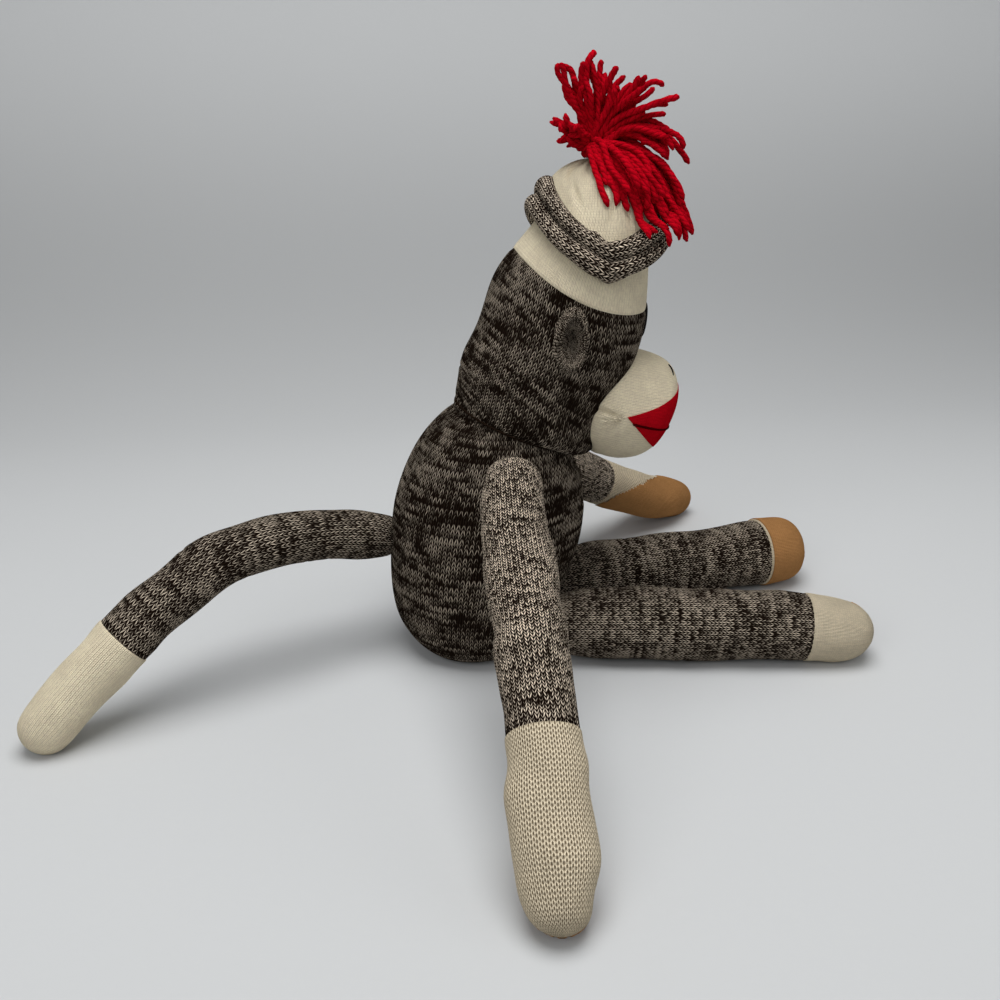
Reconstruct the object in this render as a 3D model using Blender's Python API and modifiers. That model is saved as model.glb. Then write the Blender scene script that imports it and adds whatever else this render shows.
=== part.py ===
"""Seated sock monkey doll: stuffed knitted forms, a rolled cap with a yarn tuft, and limbs sewn on at dishes.

Metres, +Z up. +X is the way the doll faces and +Y is its left. The origin is the middle of the flat seat.
Each limb ends in a round root that sits in a round dish of the torso, so that it can swing there.
"""
import math

import bmesh
import bpy
from mathutils import Matrix, Vector

# Clearances, cuts and facets
GAP = 0.0003            # between pieces that touch
RUN = 0.0006            # between a round root and its dish
FLAT = 0.0005           # depth of the flats on which the stuffed forms stand
WELD = 0.00001          # points nearer than this are one
CUT_REACH = 0.8         # size of a cutter that takes everything on one side
SLAB_REACH = 0.08       # half the side of a cutter with a curved face
SLAB_THICK = 0.16
SLAB_STEPS = 8
BODY_SIDES = 12         # sides of the cages of the torso and the head
LIMB_SIDES = 8          # sides of the cages of the limbs
DISH_SEGMENTS = 24
SMALL_SEGMENTS = 12
THREAD_SIDES = 2        # bevel resolution of threads

# Torso
TORSO_TALL = 0.163
TORSO_DEEP = 0.1196
TORSO_WIDE = 0.112
# height, centre, depth and width at each level, as shares of the four sizes
TORSO_SHARES = (
    (-0.006, -0.05, 0.60, 0.71),
    (0.074, -0.083, 0.79, 0.89),
    (0.184, -0.08, 0.87, 0.97),
    (0.368, -0.033, 0.99, 1.0),
    (0.521, -0.01, 1.0, 0.99),
    (0.632, 0.004, 0.96, 0.955),
    (0.736, 0.03, 0.90, 0.893),
    (0.828, 0.055, 0.82, 0.815),
    (0.908, 0.08, 0.69, 0.723),
    (0.969, 0.08, 0.49, 0.571),
)
TORSO_END_SHARES = (-0.037, 1.0)

# Neck: a ball of the head turns in a well of the torso, round a leaning axis
NECK_FORWARD = 0.017
NECK_HEIGHT = 0.145
NECK_LEAN = math.radians(22)
NECK_BALL = 0.038
NECK_PLUG = 0.014       # how far the ball reaches below the neck's plane
NECK_WELL = 0.031       # depth of the well, which leaves room for the tilted ball
NECK_FLARE = 0.09       # radius of the neck's cutters
THREAD_HALF = 0.0009
THREAD_REST = 0.0010    # height of the neck thread's middle over the neck's plane
# underside of the head outside the ball: distance as a share of the ball, and elevation in degrees
JAW_SHARES = ((1.0, 16), (1.14, 17), (1.26, 21), (1.34, 27), (1.42, 36), (1.7, 44))

# Head
HEAD_TALL = 0.145
HEAD_DEEP = 0.1024
HEAD_WIDE = 0.096
HEAD_SHARES = (
    (-0.255, 0.068, 0.82, 0.854),
    (-0.117, 0.049, 0.86, 0.875),
    (0.0, 0.059, 0.86, 0.896),
    (0.103, 0.107, 0.889, 0.927),
    (0.255, 0.195, 1.006, 0.979),
    (0.40, 0.244, 0.967, 1.0),
    (0.559, 0.293, 0.889, 0.96),
    (0.683, 0.3345, 0.796, 0.875),
    (0.807, 0.422, 0.645, 0.73),
    (0.897, 0.438, 0.50, 0.55),
)
HEAD_END_SHARES = ((-0.31, 0.068), (0.985, 0.42))
HEAD_CORE_SHARE = 0.2832        # how far in front of the neck the head's middle line lies
BAND_HEIGHT_SHARE = 0.6241      # middle of the knit change, over the neck's centre
BAND_SLOPE = 0.44               # rise of the knit change towards the back
BAND_DIP_SHARE = 0.069          # how far it dips at the sides

# Cap
CAP_WALL = 0.0022
CROWN_SHARES = (
    (0.60, 0.31, 0.885, 0.96),
    (0.72, 0.365, 0.79, 0.87),
    (0.807, 0.423, 0.70, 0.77),
    (0.893, 0.438, 0.59, 0.64),
    (0.96, 0.437, 0.48, 0.52),
    (1.01, 0.42, 0.35, 0.38),
)
CROWN_END_SHARES = (1.062, 0.40)
BRIM_CORE_SHARE = 0.4248        # how far in front of the neck the brim's middle line lies
BRIM_HEIGHT_SHARE = 0.8262      # middle of the lower ridge, over the neck's centre
BRIM_LEAN_SHARE = 0.05655       # how much higher the brim is at the back than in the middle
BRIM_DIP_SHARE = 0.15034        # how far it dips at the sides
BRIM_POINT = 1.2                # 1 makes the dip a sharp V, 2 a round bow
RIDGE_HALF = 0.0062
RIDGE_STEP = 0.0096     # height between the two ridges
RIDGE_OUT = 0.0008      # ridge's middle outside the crown
BRIM_POINTS = 36
RIDGE_RESOLUTION = 1

# Yarn tuft on its tie
TUFT_KNOT = 0.0052
TUFT_SWAY = math.radians(15)
TUFT_TALL = 0.050
TUFT_REACH = 0.061
TUFT_HALF = 0.020
TIE_HALF = 0.0013
# forward reach, height, half depth and half width at each step, as shares of the tuft's sizes
FAN_SHARES = ((-0.02, 0.10, 0.24, 0.26), (-0.04, 0.30, 0.50, 0.50), (-0.06, 0.58, 0.80, 0.78),
              (-0.07, 0.82, 0.82, 0.80))
FAN_END_SHARES = ((0.0, -0.05), (-0.07, 1.08))
SPRAY_SHARES = ((0.06, 0.10, 0.26, 0.30), (0.22, 0.28, 0.52, 0.60), (0.42, 0.45, 0.72, 0.85),
                (0.58, 0.57, 0.62, 0.75))
SPRAY_END_SHARES = ((-0.02, 0.0), (0.70, 0.68))
DROOP_SHARES = ((0.12, 0.07, 0.28, 0.36), (0.34, 0.12, 0.46, 0.80), (0.58, -0.04, 0.50, 1.10),
                (0.77, -0.32, 0.48, 1.15), (0.91, -0.62, 0.40, 0.95))
DROOP_END_SHARES = ((-0.02, 0.0), (0.98, -0.95))
BLOB_SHARES = (-0.22, 0.20)
BLOB_HALF = 0.0098

# Muzzle, mouth, nose and eyes
MUZZLE_FORWARD = 0.070
MUZZLE_HEIGHT = 0.0095
MUZZLE_LEAN = math.radians(14)
MUZZLE_LONG = 0.0315
MUZZLE_WIDE = 0.0375
MUZZLE_TALL = 0.0345
# place along the muzzle, lift, half width and half height, as shares
MUZZLE_SHARES = ((-1.1, 0.0, 0.90, 0.90), (-0.55, 0.0, 0.98, 0.97), (-0.08, 0.0, 0.99, 1.0),
                 (0.26, 0.04, 0.93, 0.93), (0.54, 0.12, 0.77, 0.77), (0.73, 0.20, 0.48, 0.48))
MUZZLE_END_SHARES = ((-1.4, 0.0), (0.80, 0.23))
MOUTH_THICK = 0.0012
# the mouth is a wedge seen from the side: its corner from the neck's centre, and the slopes of its edges
MOUTH_CORNER_AHEAD = 0.0595
MOUTH_CORNER_UP = 0.0132
MOUTH_TOP = math.radians(12)
MOUTH_BOTTOM = math.radians(-50)
LINE_TURN = math.radians(-21)
LINE_START = 0.010      # where the thread begins, from the mouth's corner
LINE_THICK = 0.0011
LINE_SINK = 0.0006
NOSTRIL_ASIDE = 0.0065
NOSTRIL_HEIGHT = 0.0345
NOSTRIL_LONG = 0.0046
NOSTRIL_HALF = 0.0006
EYE_ANGLE = math.radians(13.5)
EYE_HEIGHT_SHARE = 0.4414
EYE_HALVES = (0.0018, 0.0056, 0.0100)

# Ears
EAR_ANGLE = math.radians(91)
EAR_HEIGHT_SHARE = 0.4241
EAR_HALVES = (0.0100, 0.0085, 0.0160)
CUP_SHARES = (0.62, 0.85, 0.66)
CUP_SHIFT_SHARES = (0.24, 0.85, 0.05)

# Arms: the right one lies out to the side, the left one forward
SHOULDER_FORWARD = 0.006
SHOULDER_ASIDE = 0.0625
SHOULDER_HEIGHT = 0.128
ARM_HALF = 0.0185
HAND_REST = 0.0160      # half thickness of the hand where it rests
REST_SINK = 0.0017      # lowers the cage's end, because the rounding lifts the form's underside
RIGHT_ARM_REACH = 0.190
LEFT_ARM_REACH = 0.2085
RIGHT_ARM_TURN = math.radians(-91.2)
LEFT_ARM_TURN = math.radians(35.4)
# reach and height along the arm, then half width and half thickness, as shares
RIGHT_ARM_SHARES = ((0.0, 1.0), (0.165, 0.785), (0.345, 0.66), (0.53, 0.575), (0.69, 0.44), (0.84, 0.255),
                    (0.935, 0.11), (1.0, 0.0))
LEFT_ARM_SHARES = ((0.0, 1.0), (0.155, 0.79), (0.31, 0.595), (0.47, 0.42), (0.61, 0.283), (0.76, 0.155),
                   (0.89, 0.05), (1.0, 0.0))
ARM_SECTION_SHARES = ((0.95, 0.95), (1.03, 1.02), (1.05, 1.03), (0.98, 0.97), (0.90, 0.92), (1.03, 0.95),
                      (1.10, 0.93), (0.84, 0.865))
# where the hands begin, counted in steps along the arm
RIGHT_WRIST_SHARE = 4.2
LEFT_WRIST_SHARE = 3.5
# the plane behind the palm: its inward, upward and lengthwise parts, and its distance in half arms
RIGHT_PALM_SHARES = (0.17, -0.86, -0.48, 0.35)
LEFT_PALM_SHARES = (0.945, -0.107, 0.308, -0.545)
ARM_TIP_SHARE = 0.90

# Legs, straight forward and a little apart
HIP_FORWARD = 0.052
HIP_ASIDE = 0.031
LEG_HALF = 0.0225
LEG_REACH = 0.167
RIGHT_LEG_TURN = math.radians(-8.0)
LEFT_LEG_TURN = math.radians(8.6)
LEG_ROOT_SHARE = 0.985
# reach and half thickness along the leg behind its root; the left foot lies with its broad side up
RIGHT_LEG_SHARES = ((0.25, 1.01), (0.5, 1.0), (0.72, 0.97), (0.88, 0.94), (1.0, 0.85))
LEFT_LEG_SHARES = ((0.25, 1.01), (0.5, 1.0), (0.72, 1.0), (0.88, 1.05), (1.0, 1.04))
RIGHT_ANKLE_SHARE = 3.9
LEFT_ANKLE_SHARE = 4.2
RIGHT_TOE_SHARE = 0.98
LEFT_TOE_SHARE = 0.80
# the plane behind the sole: its inward, upward and lengthwise parts, and its distance in half legs
RIGHT_SOLE_SHARES = (0.914, 0.0, 0.407, 0.40)
LEFT_SOLE_SHARES = (0.88, 0.30, 0.36, -0.45)

# Tail, arched down to the floor
TAIL_BEHIND = 0.068
TAIL_HEIGHT = 0.074
TAIL_HALF = 0.0155
TAIL_REACH = 0.2055
TAIL_TURN = math.radians(207.1)
TAIL_SHARES = ((0.0, 1.0), (0.10, 1.13), (0.225, 1.215), (0.35, 1.25), (0.455, 1.225), (0.56, 1.11),
               (0.665, 0.90), (0.775, 0.655), (0.89, 0.34), (1.0, 0.0))
TAIL_SECTION_SHARES = (0.93, 0.95, 0.98, 1.0, 1.0, 1.0, 1.02, 1.06, 1.06, 1.0)
TAIL_TIP_START_SHARE = 7.05
TAIL_END_SHARE = 0.95

# A dome of cage rings closes each limb: angles in degrees, and how much the cage stands out
DOME_ANGLES = (36, 66)
DOME_SHARE = 1.03
DOME_POLE_SHARE = 1.05

FINISHES = {
    "marl": ((0.105, 0.090, 0.080, 1.0), 0.95),
    "cream": ((0.62, 0.53, 0.36, 1.0), 0.95),
    "tan": ((0.34, 0.17, 0.05, 1.0), 0.98),
    "red": ((0.30, 0.006, 0.010, 1.0), 0.90),
    "black": ((0.012, 0.011, 0.012, 1.0), 0.45),
}

UP = Vector((0, 0, 1))
AHEAD = Vector((1, 0, 0))
LEFT = Vector((0, 1, 0))
NECK = Vector((NECK_FORWARD, 0, NECK_HEIGHT))
NECK_AXIS = Vector((math.sin(NECK_LEAN), 0, math.cos(NECK_LEAN)))


def clear_scene():
    for thing in list(bpy.data.objects):
        bpy.data.objects.remove(thing, do_unlink=True)


def new_collection(name):
    collection = bpy.data.collections.new(name)
    bpy.context.scene.collection.children.link(collection)
    return collection


def heading(angle):
    return Vector((math.cos(angle), math.sin(angle), 0))


def add_mesh(name, bm, collection):
    """Object of a bmesh, with its faces pointing out and shaded smooth."""
    bmesh.ops.recalc_face_normals(bm, faces=bm.faces)
    mesh = bpy.data.meshes.new(name)
    bm.to_mesh(mesh)
    bm.free()
    mesh.shade_smooth()
    thing = bpy.data.objects.new(name, mesh)
    collection.objects.link(thing)
    return thing


def as_cutter(thing):
    thing.hide_render = True
    thing.display_type = "WIRE"
    return thing


def boolean(thing, cutter, operation="DIFFERENCE"):
    step = thing.modifiers.new(operation.lower(), "BOOLEAN")
    step.operation = operation
    step.object = cutter
    step.solver = "EXACT"
    return thing


def swelling(name, stations, first_pole, last_pole, sides, collection):
    """Stuffed form: a coarse cage of oval rings, closed by a pole at each end, under Subdivision Surface.

    A station is its centre, two directions and the form's half sizes along them.
    """
    swell = 3 / (2 + math.cos(math.tau / sides))
    bm = bmesh.new()
    rings = []
    for centre, across, rise, half_across, half_rise in stations:
        ring = []
        for i in range(sides):
            turn = math.tau * (i + 0.5) / sides
            place = across * (half_across * math.cos(turn)) + rise * (half_rise * math.sin(turn))
            ring.append(bm.verts.new(centre + place * swell))
        rings.append(ring)
    for ring, following in zip(rings, rings[1:]):
        for i in range(sides):
            j = (i + 1) % sides
            bm.faces.new((ring[i], ring[j], following[j], following[i]))
    for ring, pole in ((rings[0], first_pole), (rings[-1], last_pole)):
        tip = bm.verts.new(pole)
        for i in range(sides):
            bm.faces.new((ring[i], ring[(i + 1) % sides], tip))
    thing = add_mesh(name, bm, collection)
    smooth = thing.modifiers.new("swell", "SUBSURF")
    smooth.levels = 1
    smooth.render_levels = 1
    return thing


def upright_stations(rows, origin, tall, deep, wide, grow=0.0):
    """Level ovals stacked up: rows hold height, centre, depth and width as shares."""
    stations = []
    for height, centre, depth, width in rows:
        place = origin + AHEAD * (centre * deep) + UP * (height * tall)
        stations.append((place, AHEAD, LEFT, depth * deep / 2 + grow, width * wide / 2 + grow))
    return stations


def dome_rings(centre, outward, across, rise, halves, depth):
    """Rings of a round end, nearest the limb first, and its pole."""
    rings = []
    for angle in DOME_ANGLES:
        lean = math.radians(angle)
        share = DOME_SHARE * math.cos(lean)
        place = centre + outward * (depth * DOME_SHARE * math.sin(lean))
        rings.append((place, across, rise, halves[0] * share, halves[1] * share))
    return rings, centre + outward * (depth * DOME_POLE_SHARE)


def path_frames(points):
    """Tangent, level direction and rise at each point of a limb's middle line."""
    frames = []
    for i in range(len(points)):
        tangent = (points[min(i + 1, len(points) - 1)] - points[max(i - 1, 0)]).normalized()
        across = tangent.cross(UP).normalized()
        frames.append((tangent, across, across.cross(tangent)))
    return frames


def limb(name, points, halves, root_depth, tip_depth, collection):
    """Round-ended stuffed tube along a middle line, with its root dome behind the first point."""
    frames = path_frames(points)
    stations = []
    for point, (tangent, across, rise), (half_across, half_rise) in zip(points, frames, halves):
        stations.append((point, across, rise, half_across, half_rise))
    tangent, across, rise = frames[0]
    root, root_pole = dome_rings(points[0], -tangent, across, rise, halves[0], root_depth)
    tangent, across, rise = frames[-1]
    tip, tip_pole = dome_rings(points[-1], tangent, across, rise, halves[-1], tip_depth)
    return swelling(name, root[::-1] + stations + tip, root_pole, tip_pole, LIMB_SIDES, collection)


def along(points, step):
    """Point and direction at a place counted in steps along a middle line."""
    i = min(int(step), len(points) - 2)
    direction = (points[i + 1] - points[i]).normalized()
    return points[i].lerp(points[i + 1], step - i), direction


def half_space(name, point, outward, cutters):
    """Cutter that fills the side of a plane to which outward points."""
    bm = bmesh.new()
    bmesh.ops.create_cube(bm, size=CUT_REACH)
    turn = UP.rotation_difference(outward).to_matrix().to_4x4()
    middle = point + outward * (CUT_REACH / 2)
    bmesh.ops.transform(bm, matrix=Matrix.Translation(middle) @ turn, verts=bm.verts)
    return as_cutter(add_mesh(name, bm, cutters))


def ball(name, centre, halves, collection, turn=None, segments=SMALL_SEGMENTS):
    bm = bmesh.new()
    bmesh.ops.create_uvsphere(bm, u_segments=segments, v_segments=segments // 2, radius=1)
    shape = Matrix.Translation(centre) @ (turn or Matrix.Identity(4)) @ Matrix.Diagonal((*halves, 1))
    bmesh.ops.transform(bm, matrix=shape, verts=bm.verts)
    return add_mesh(name, bm, collection)


def clear_of(radius):
    """Radius of a faceted dish that a ball of the given radius turns in."""
    return radius / math.cos(math.pi / DISH_SEGMENTS) + RUN


def turned(name, profile, centre, axis, collection):
    """Closed profile of distance and height, swept round an axis with Screw."""
    bm = bmesh.new()
    verts = [bm.verts.new((distance, 0, height)) for distance, height in profile]
    for start, end in zip(verts, verts[1:]):
        bm.edges.new((start, end))
    mesh = bpy.data.meshes.new(name)
    bm.to_mesh(mesh)
    bm.free()
    thing = bpy.data.objects.new(name, mesh)
    collection.objects.link(thing)
    thing.matrix_world = Matrix.Translation(centre) @ UP.rotation_difference(axis).to_matrix().to_4x4()
    spin = thing.modifiers.new("spin", "SCREW")
    spin.steps = DISH_SEGMENTS
    spin.render_steps = DISH_SEGMENTS
    spin.use_merge_vertices = True
    spin.merge_threshold = WELD
    return thing


def tube(name, points, half, collection, cyclic=False, resolution=THREAD_SIDES):
    """Tube along points, as a bevelled curve with filled ends."""
    curve = bpy.data.curves.new(name, "CURVE")
    curve.dimensions = "3D"
    curve.bevel_depth = half
    curve.bevel_resolution = resolution
    curve.use_fill_caps = True
    spline = curve.splines.new("POLY")
    spline.points.add(len(points) - 1)
    for knot, point in zip(spline.points, points):
        knot.co = (*point, 1)
    spline.use_cyclic_u = cyclic
    thing = bpy.data.objects.new(name, curve)
    collection.objects.link(thing)
    return thing


def meshed(thing, collection):
    """The same shape as a closed mesh, so that it can be cut."""
    bpy.context.view_layer.update()
    depsgraph = bpy.context.evaluated_depsgraph_get()
    mesh = bpy.data.meshes.new_from_object(thing.evaluated_get(depsgraph))
    bm = bmesh.new()
    bm.from_mesh(mesh)
    bpy.data.meshes.remove(mesh)
    bmesh.ops.remove_doubles(bm, verts=bm.verts, dist=WELD)
    bmesh.ops.transform(bm, matrix=thing.matrix_world, verts=bm.verts)
    name = thing.name
    bpy.data.objects.remove(thing, do_unlink=True)
    return add_mesh(name, bm, collection)


def hit(thing, origin, direction):
    """Point and outward normal where a line from inside a form leaves it."""
    bpy.context.view_layer.update()
    depsgraph = bpy.context.evaluated_depsgraph_get()
    evaluated = thing.evaluated_get(depsgraph)
    found, place, normal, _ = evaluated.ray_cast(origin, direction)
    if not found:
        raise RuntimeError(f"no surface of {thing.name} that way")
    return place, normal


def sheet_slab(name, surface, thick, cutters):
    """Closed slab on one side of a curved sheet whose height is given by surface(x, y)."""
    bm = bmesh.new()
    bmesh.ops.create_grid(bm, x_segments=SLAB_STEPS, y_segments=2 * SLAB_STEPS, size=SLAB_REACH)
    for vert in bm.verts:
        vert.co.z = surface(vert.co.x + NECK_FORWARD, vert.co.y)
        vert.co.x += NECK_FORWARD
    lifted = bmesh.ops.extrude_face_region(bm, geom=bm.faces[:])
    for part in lifted["geom"]:
        if isinstance(part, bmesh.types.BMVert):
            part.co.z += thick
    slab = as_cutter(add_mesh(name, bm, cutters))
    slab.data.shade_flat()
    return slab


def paint(thing, finish):
    colour, roughness = FINISHES[finish]
    material = bpy.data.materials.new(f"{thing.name}_{finish}")
    material.use_nodes = True
    shader = material.node_tree.nodes["Principled BSDF"]
    shader.inputs["Base Color"].default_value = colour
    shader.inputs["Roughness"].default_value = roughness
    shader.inputs["Metallic"].default_value = 0
    thing.data.materials.clear()
    thing.data.materials.append(material)


def pivot(name, place, axis, doll):
    """Empty on a joint, with its Z along the joint's axis."""
    mark = bpy.data.objects.new(name, None)
    mark.empty_display_size = RIDGE_HALF
    mark.matrix_world = Matrix.Translation(place) @ UP.rotation_difference(axis).to_matrix().to_4x4()
    doll.objects.link(mark)
    return mark


def carry(mark, pieces):
    """Parents pieces, built in place, to the empty that they move with."""
    bpy.context.view_layer.update()
    for piece in pieces:
        piece.parent = mark
        piece.matrix_parent_inverse = mark.matrix_world.inverted()


def head_form(name, grow, collection):
    stations = upright_stations(HEAD_SHARES, NECK, HEAD_TALL, HEAD_DEEP, HEAD_WIDE, grow)
    (low, low_ahead), (high, high_ahead) = HEAD_END_SHARES
    first = NECK + AHEAD * (low_ahead * HEAD_DEEP) + UP * (low * HEAD_TALL - grow)
    last = NECK + AHEAD * (high_ahead * HEAD_DEEP) + UP * (high * HEAD_TALL + grow)
    return swelling(name, stations, first, last, BODY_SIDES, collection)


def crown_form(name, grow, collection):
    stations = upright_stations(CROWN_SHARES, NECK, HEAD_TALL, HEAD_DEEP, HEAD_WIDE, CAP_WALL + grow)
    first = stations[0][0] - UP * CAP_WALL
    high, ahead = CROWN_END_SHARES
    last = NECK + AHEAD * (ahead * HEAD_DEEP) + UP * (high * HEAD_TALL + grow)
    return swelling(name, stations, first, last, BODY_SIDES, collection)


def band_height(x, y):
    """Height of the change from marl to cream knit on the head."""
    aside = y / (HEAD_WIDE / 2)
    ahead = x - NECK_FORWARD - HEAD_CORE_SHARE * HEAD_DEEP
    rise = HEAD_TALL * (BAND_HEIGHT_SHARE - BAND_DIP_SHARE * aside * aside)
    return NECK_HEIGHT + rise - BAND_SLOPE * ahead


def brim_rise(turn):
    """Height of the lower ridge over the neck's centre, at an angle from the front."""
    dip = 1 - abs(math.cos(turn)) ** BRIM_POINT
    return HEAD_TALL * (BRIM_HEIGHT_SHARE - BRIM_LEAN_SHARE * math.cos(turn) - BRIM_DIP_SHARE * dip)


def build_torso(doll, cutters):
    origin = Vector((0, 0, 0))
    stations = upright_stations(TORSO_SHARES, origin, TORSO_TALL, TORSO_DEEP, TORSO_WIDE)
    low, high = TORSO_END_SHARES
    first = stations[0][0] + UP * ((low - TORSO_SHARES[0][0]) * TORSO_TALL)
    last = stations[-1][0] + UP * ((high - TORSO_SHARES[-1][0]) * TORSO_TALL)
    torso = swelling("torso", stations, first, last, BODY_SIDES, doll)
    well = clear_of(NECK_BALL)
    depth = -NECK_WELL
    arc_start = math.asin(depth / well)
    profile = [(0, NECK_FLARE), (NECK_FLARE, NECK_FLARE), (NECK_FLARE, 0)]
    steps = 8
    for i in range(steps + 1):
        angle = arc_start * i / steps
        profile.append((well * math.cos(angle), well * math.sin(angle)))
    profile.append((0, depth))
    boolean(torso, as_cutter(turned("neck_well", profile, NECK, NECK_AXIS, cutters)))
    return torso


def neck_thread(doll):
    """Gathering thread, a ring on the torso's rim round the head's ball."""
    half = clear_of(NECK_BALL) + THREAD_HALF + GAP
    across = NECK_AXIS.cross(LEFT).normalized()
    count = DISH_SEGMENTS
    points = []
    for i in range(count):
        turn = math.tau * i / count
        lift = NECK_AXIS * (THREAD_REST + GAP)
        points.append(NECK + lift + (across * math.cos(turn) + LEFT * math.sin(turn)) * half)
    return tube("neck_thread", points, THREAD_HALF, doll, cyclic=True)


def build_head(doll, cutters):
    """Marl head and cream top, parted along the knit change, with the ball that sits in the neck's well."""
    profile = [(0, -NECK_PLUG)]
    start = -math.asin(NECK_PLUG / NECK_BALL)
    first_lift = math.radians(JAW_SHARES[0][1])
    steps = 6
    for i in range(steps):
        angle = start + (first_lift - start) * i / steps
        profile.append((NECK_BALL * math.cos(angle), NECK_BALL * math.sin(angle)))
    for share, degrees in JAW_SHARES:
        angle = math.radians(degrees)
        profile.append((NECK_BALL * share * math.cos(angle), NECK_BALL * share * math.sin(angle)))
    profile += [(NECK_FLARE, profile[-1][1]), (NECK_FLARE, -NECK_FLARE), (0, -NECK_FLARE)]
    jaw = as_cutter(turned("jaw_cutter", profile, NECK, NECK_AXIS, cutters))
    head = boolean(head_form("head", 0, doll), jaw)
    head_top = head_form("head_top", 0, doll)

    def under(x, y):
        return band_height(x, y) - GAP / 2

    def over(x, y):
        return band_height(x, y) + GAP / 2

    boolean(head, sheet_slab("band_over", under, SLAB_THICK, cutters))
    boolean(head_top, sheet_slab("band_under", over, -SLAB_THICK, cutters))
    return head, head_top


def build_cap(doll, cutters):
    """Knitted cap: a crown over the top of the head, and a brim rolled into two ridges."""
    crown = crown_form("cap_crown", 0, doll)
    boolean(crown, as_cutter(head_form("crown_inside", GAP, cutters)))

    brim_core = NECK_FORWARD + BRIM_CORE_SHARE * HEAD_DEEP

    def lower_edge(x, y):
        turn = math.atan2(y / HEAD_WIDE, (x - brim_core) / HEAD_DEEP)
        return NECK_HEIGHT + brim_rise(turn)

    boolean(crown, sheet_slab("crown_edge", lower_edge, -SLAB_THICK, cutters))

    outside = as_cutter(crown_form("brim_inside", GAP, cutters))
    ridges = []
    for level, name in enumerate(("cap_brim", "upper_ridge")):
        points = []
        for i in range(BRIM_POINTS):
            turn = math.tau * i / BRIM_POINTS
            height = NECK_HEIGHT + brim_rise(turn) + level * RIDGE_STEP
            core = Vector((brim_core, 0, height))
            way = Vector((HEAD_DEEP * math.cos(turn), HEAD_WIDE * math.sin(turn), 0)).normalized()
            place, _ = hit(outside, core, way)
            points.append(place + way * RIDGE_OUT)
        ridges.append(tube(name, points, RIDGE_HALF, doll, cyclic=True, resolution=RIDGE_RESOLUTION))
    brim = meshed(ridges[0], doll)
    boolean(brim, as_cutter(meshed(ridges[1], cutters)), "UNION")
    boolean(brim, outside)
    return crown, brim, outside


def build_tuft(doll, cutters, crown):
    """Yarn tuft: three bunches of yarn and a small blob on a round knot, and the yarn that ties it."""
    over = Vector((NECK_FORWARD + CROWN_END_SHARES[1] * HEAD_DEEP, 0, NECK_HEIGHT + 2 * HEAD_TALL))
    bpy.context.view_layer.update()
    top, _ = hit(crown, over, -UP)
    knot = top + UP * (TUFT_KNOT + GAP)

    def lobe(name, rows, ends, collection):
        stations = []
        places = [knot + AHEAD * (row[0] * TUFT_REACH) + UP * (row[1] * TUFT_TALL) for row in rows]
        for i, (place, row) in enumerate(zip(places, rows)):
            way = (places[min(i + 1, len(places) - 1)] - places[max(i - 1, 0)]).normalized()
            across = LEFT.cross(way)
            stations.append((place, across, LEFT, row[2] * TUFT_HALF, row[3] * TUFT_HALF))
        poles = [knot + AHEAD * (ahead * TUFT_REACH) + UP * (up * TUFT_TALL) for ahead, up in ends]
        return swelling(name, stations, poles[0], poles[1], LIMB_SIDES, collection)

    tuft = lobe("tuft", FAN_SHARES, FAN_END_SHARES, doll)
    boolean(tuft, as_cutter(lobe("tuft_spray", SPRAY_SHARES, SPRAY_END_SHARES, cutters)), "UNION")
    boolean(tuft, as_cutter(lobe("tuft_droop", DROOP_SHARES, DROOP_END_SHARES, cutters)), "UNION")
    blob_place = knot + AHEAD * (BLOB_SHARES[0] * TUFT_REACH) + UP * (BLOB_SHARES[1] * TUFT_TALL)
    boolean(tuft, as_cutter(ball("tuft_blob", blob_place, (BLOB_HALF,) * 3, cutters)), "UNION")
    for step in (-1, 0, 1):
        sweep = crown_form(f"tuft_clearance_{step + 1}", GAP, cutters)
        turn = Matrix.Rotation(step * TUFT_SWAY, 4, AHEAD)
        sweep.matrix_world = Matrix.Translation(knot) @ turn @ Matrix.Translation(-knot)
        boolean(tuft, as_cutter(sweep))
    brim_front = NECK_FORWARD + HEAD_DEEP * (HEAD_CORE_SHARE + 1 / 2) + CAP_WALL + 2 * RIDGE_HALF
    front = half_space("tuft_front", Vector((brim_front, 0, 0)), -AHEAD, cutters)
    low = half_space("tuft_low", knot - UP * (TUFT_TALL / 2), -UP, cutters)
    boolean(front, low, "INTERSECT")
    boolean(tuft, front)
    ring = TUFT_KNOT + TIE_HALF + GAP
    wide = ring + 2 * TIE_HALF
    low = -2 * TUFT_KNOT
    room = [(0, 2 * TIE_HALF), (wide, 2 * TIE_HALF), (wide, low), (0, low)]
    boolean(tuft, as_cutter(turned("tie_room", room, knot, UP, cutters)))
    boolean(tuft, as_cutter(ball("tuft_knot", knot, (TUFT_KNOT,) * 3, cutters)), "UNION")
    count = DISH_SEGMENTS // 2
    points = [knot + heading(math.tau * i / count) * ring for i in range(count)]
    tie = tube("tuft_tie", points, TIE_HALF, doll, cyclic=True)
    return tuft, tie, knot


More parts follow.
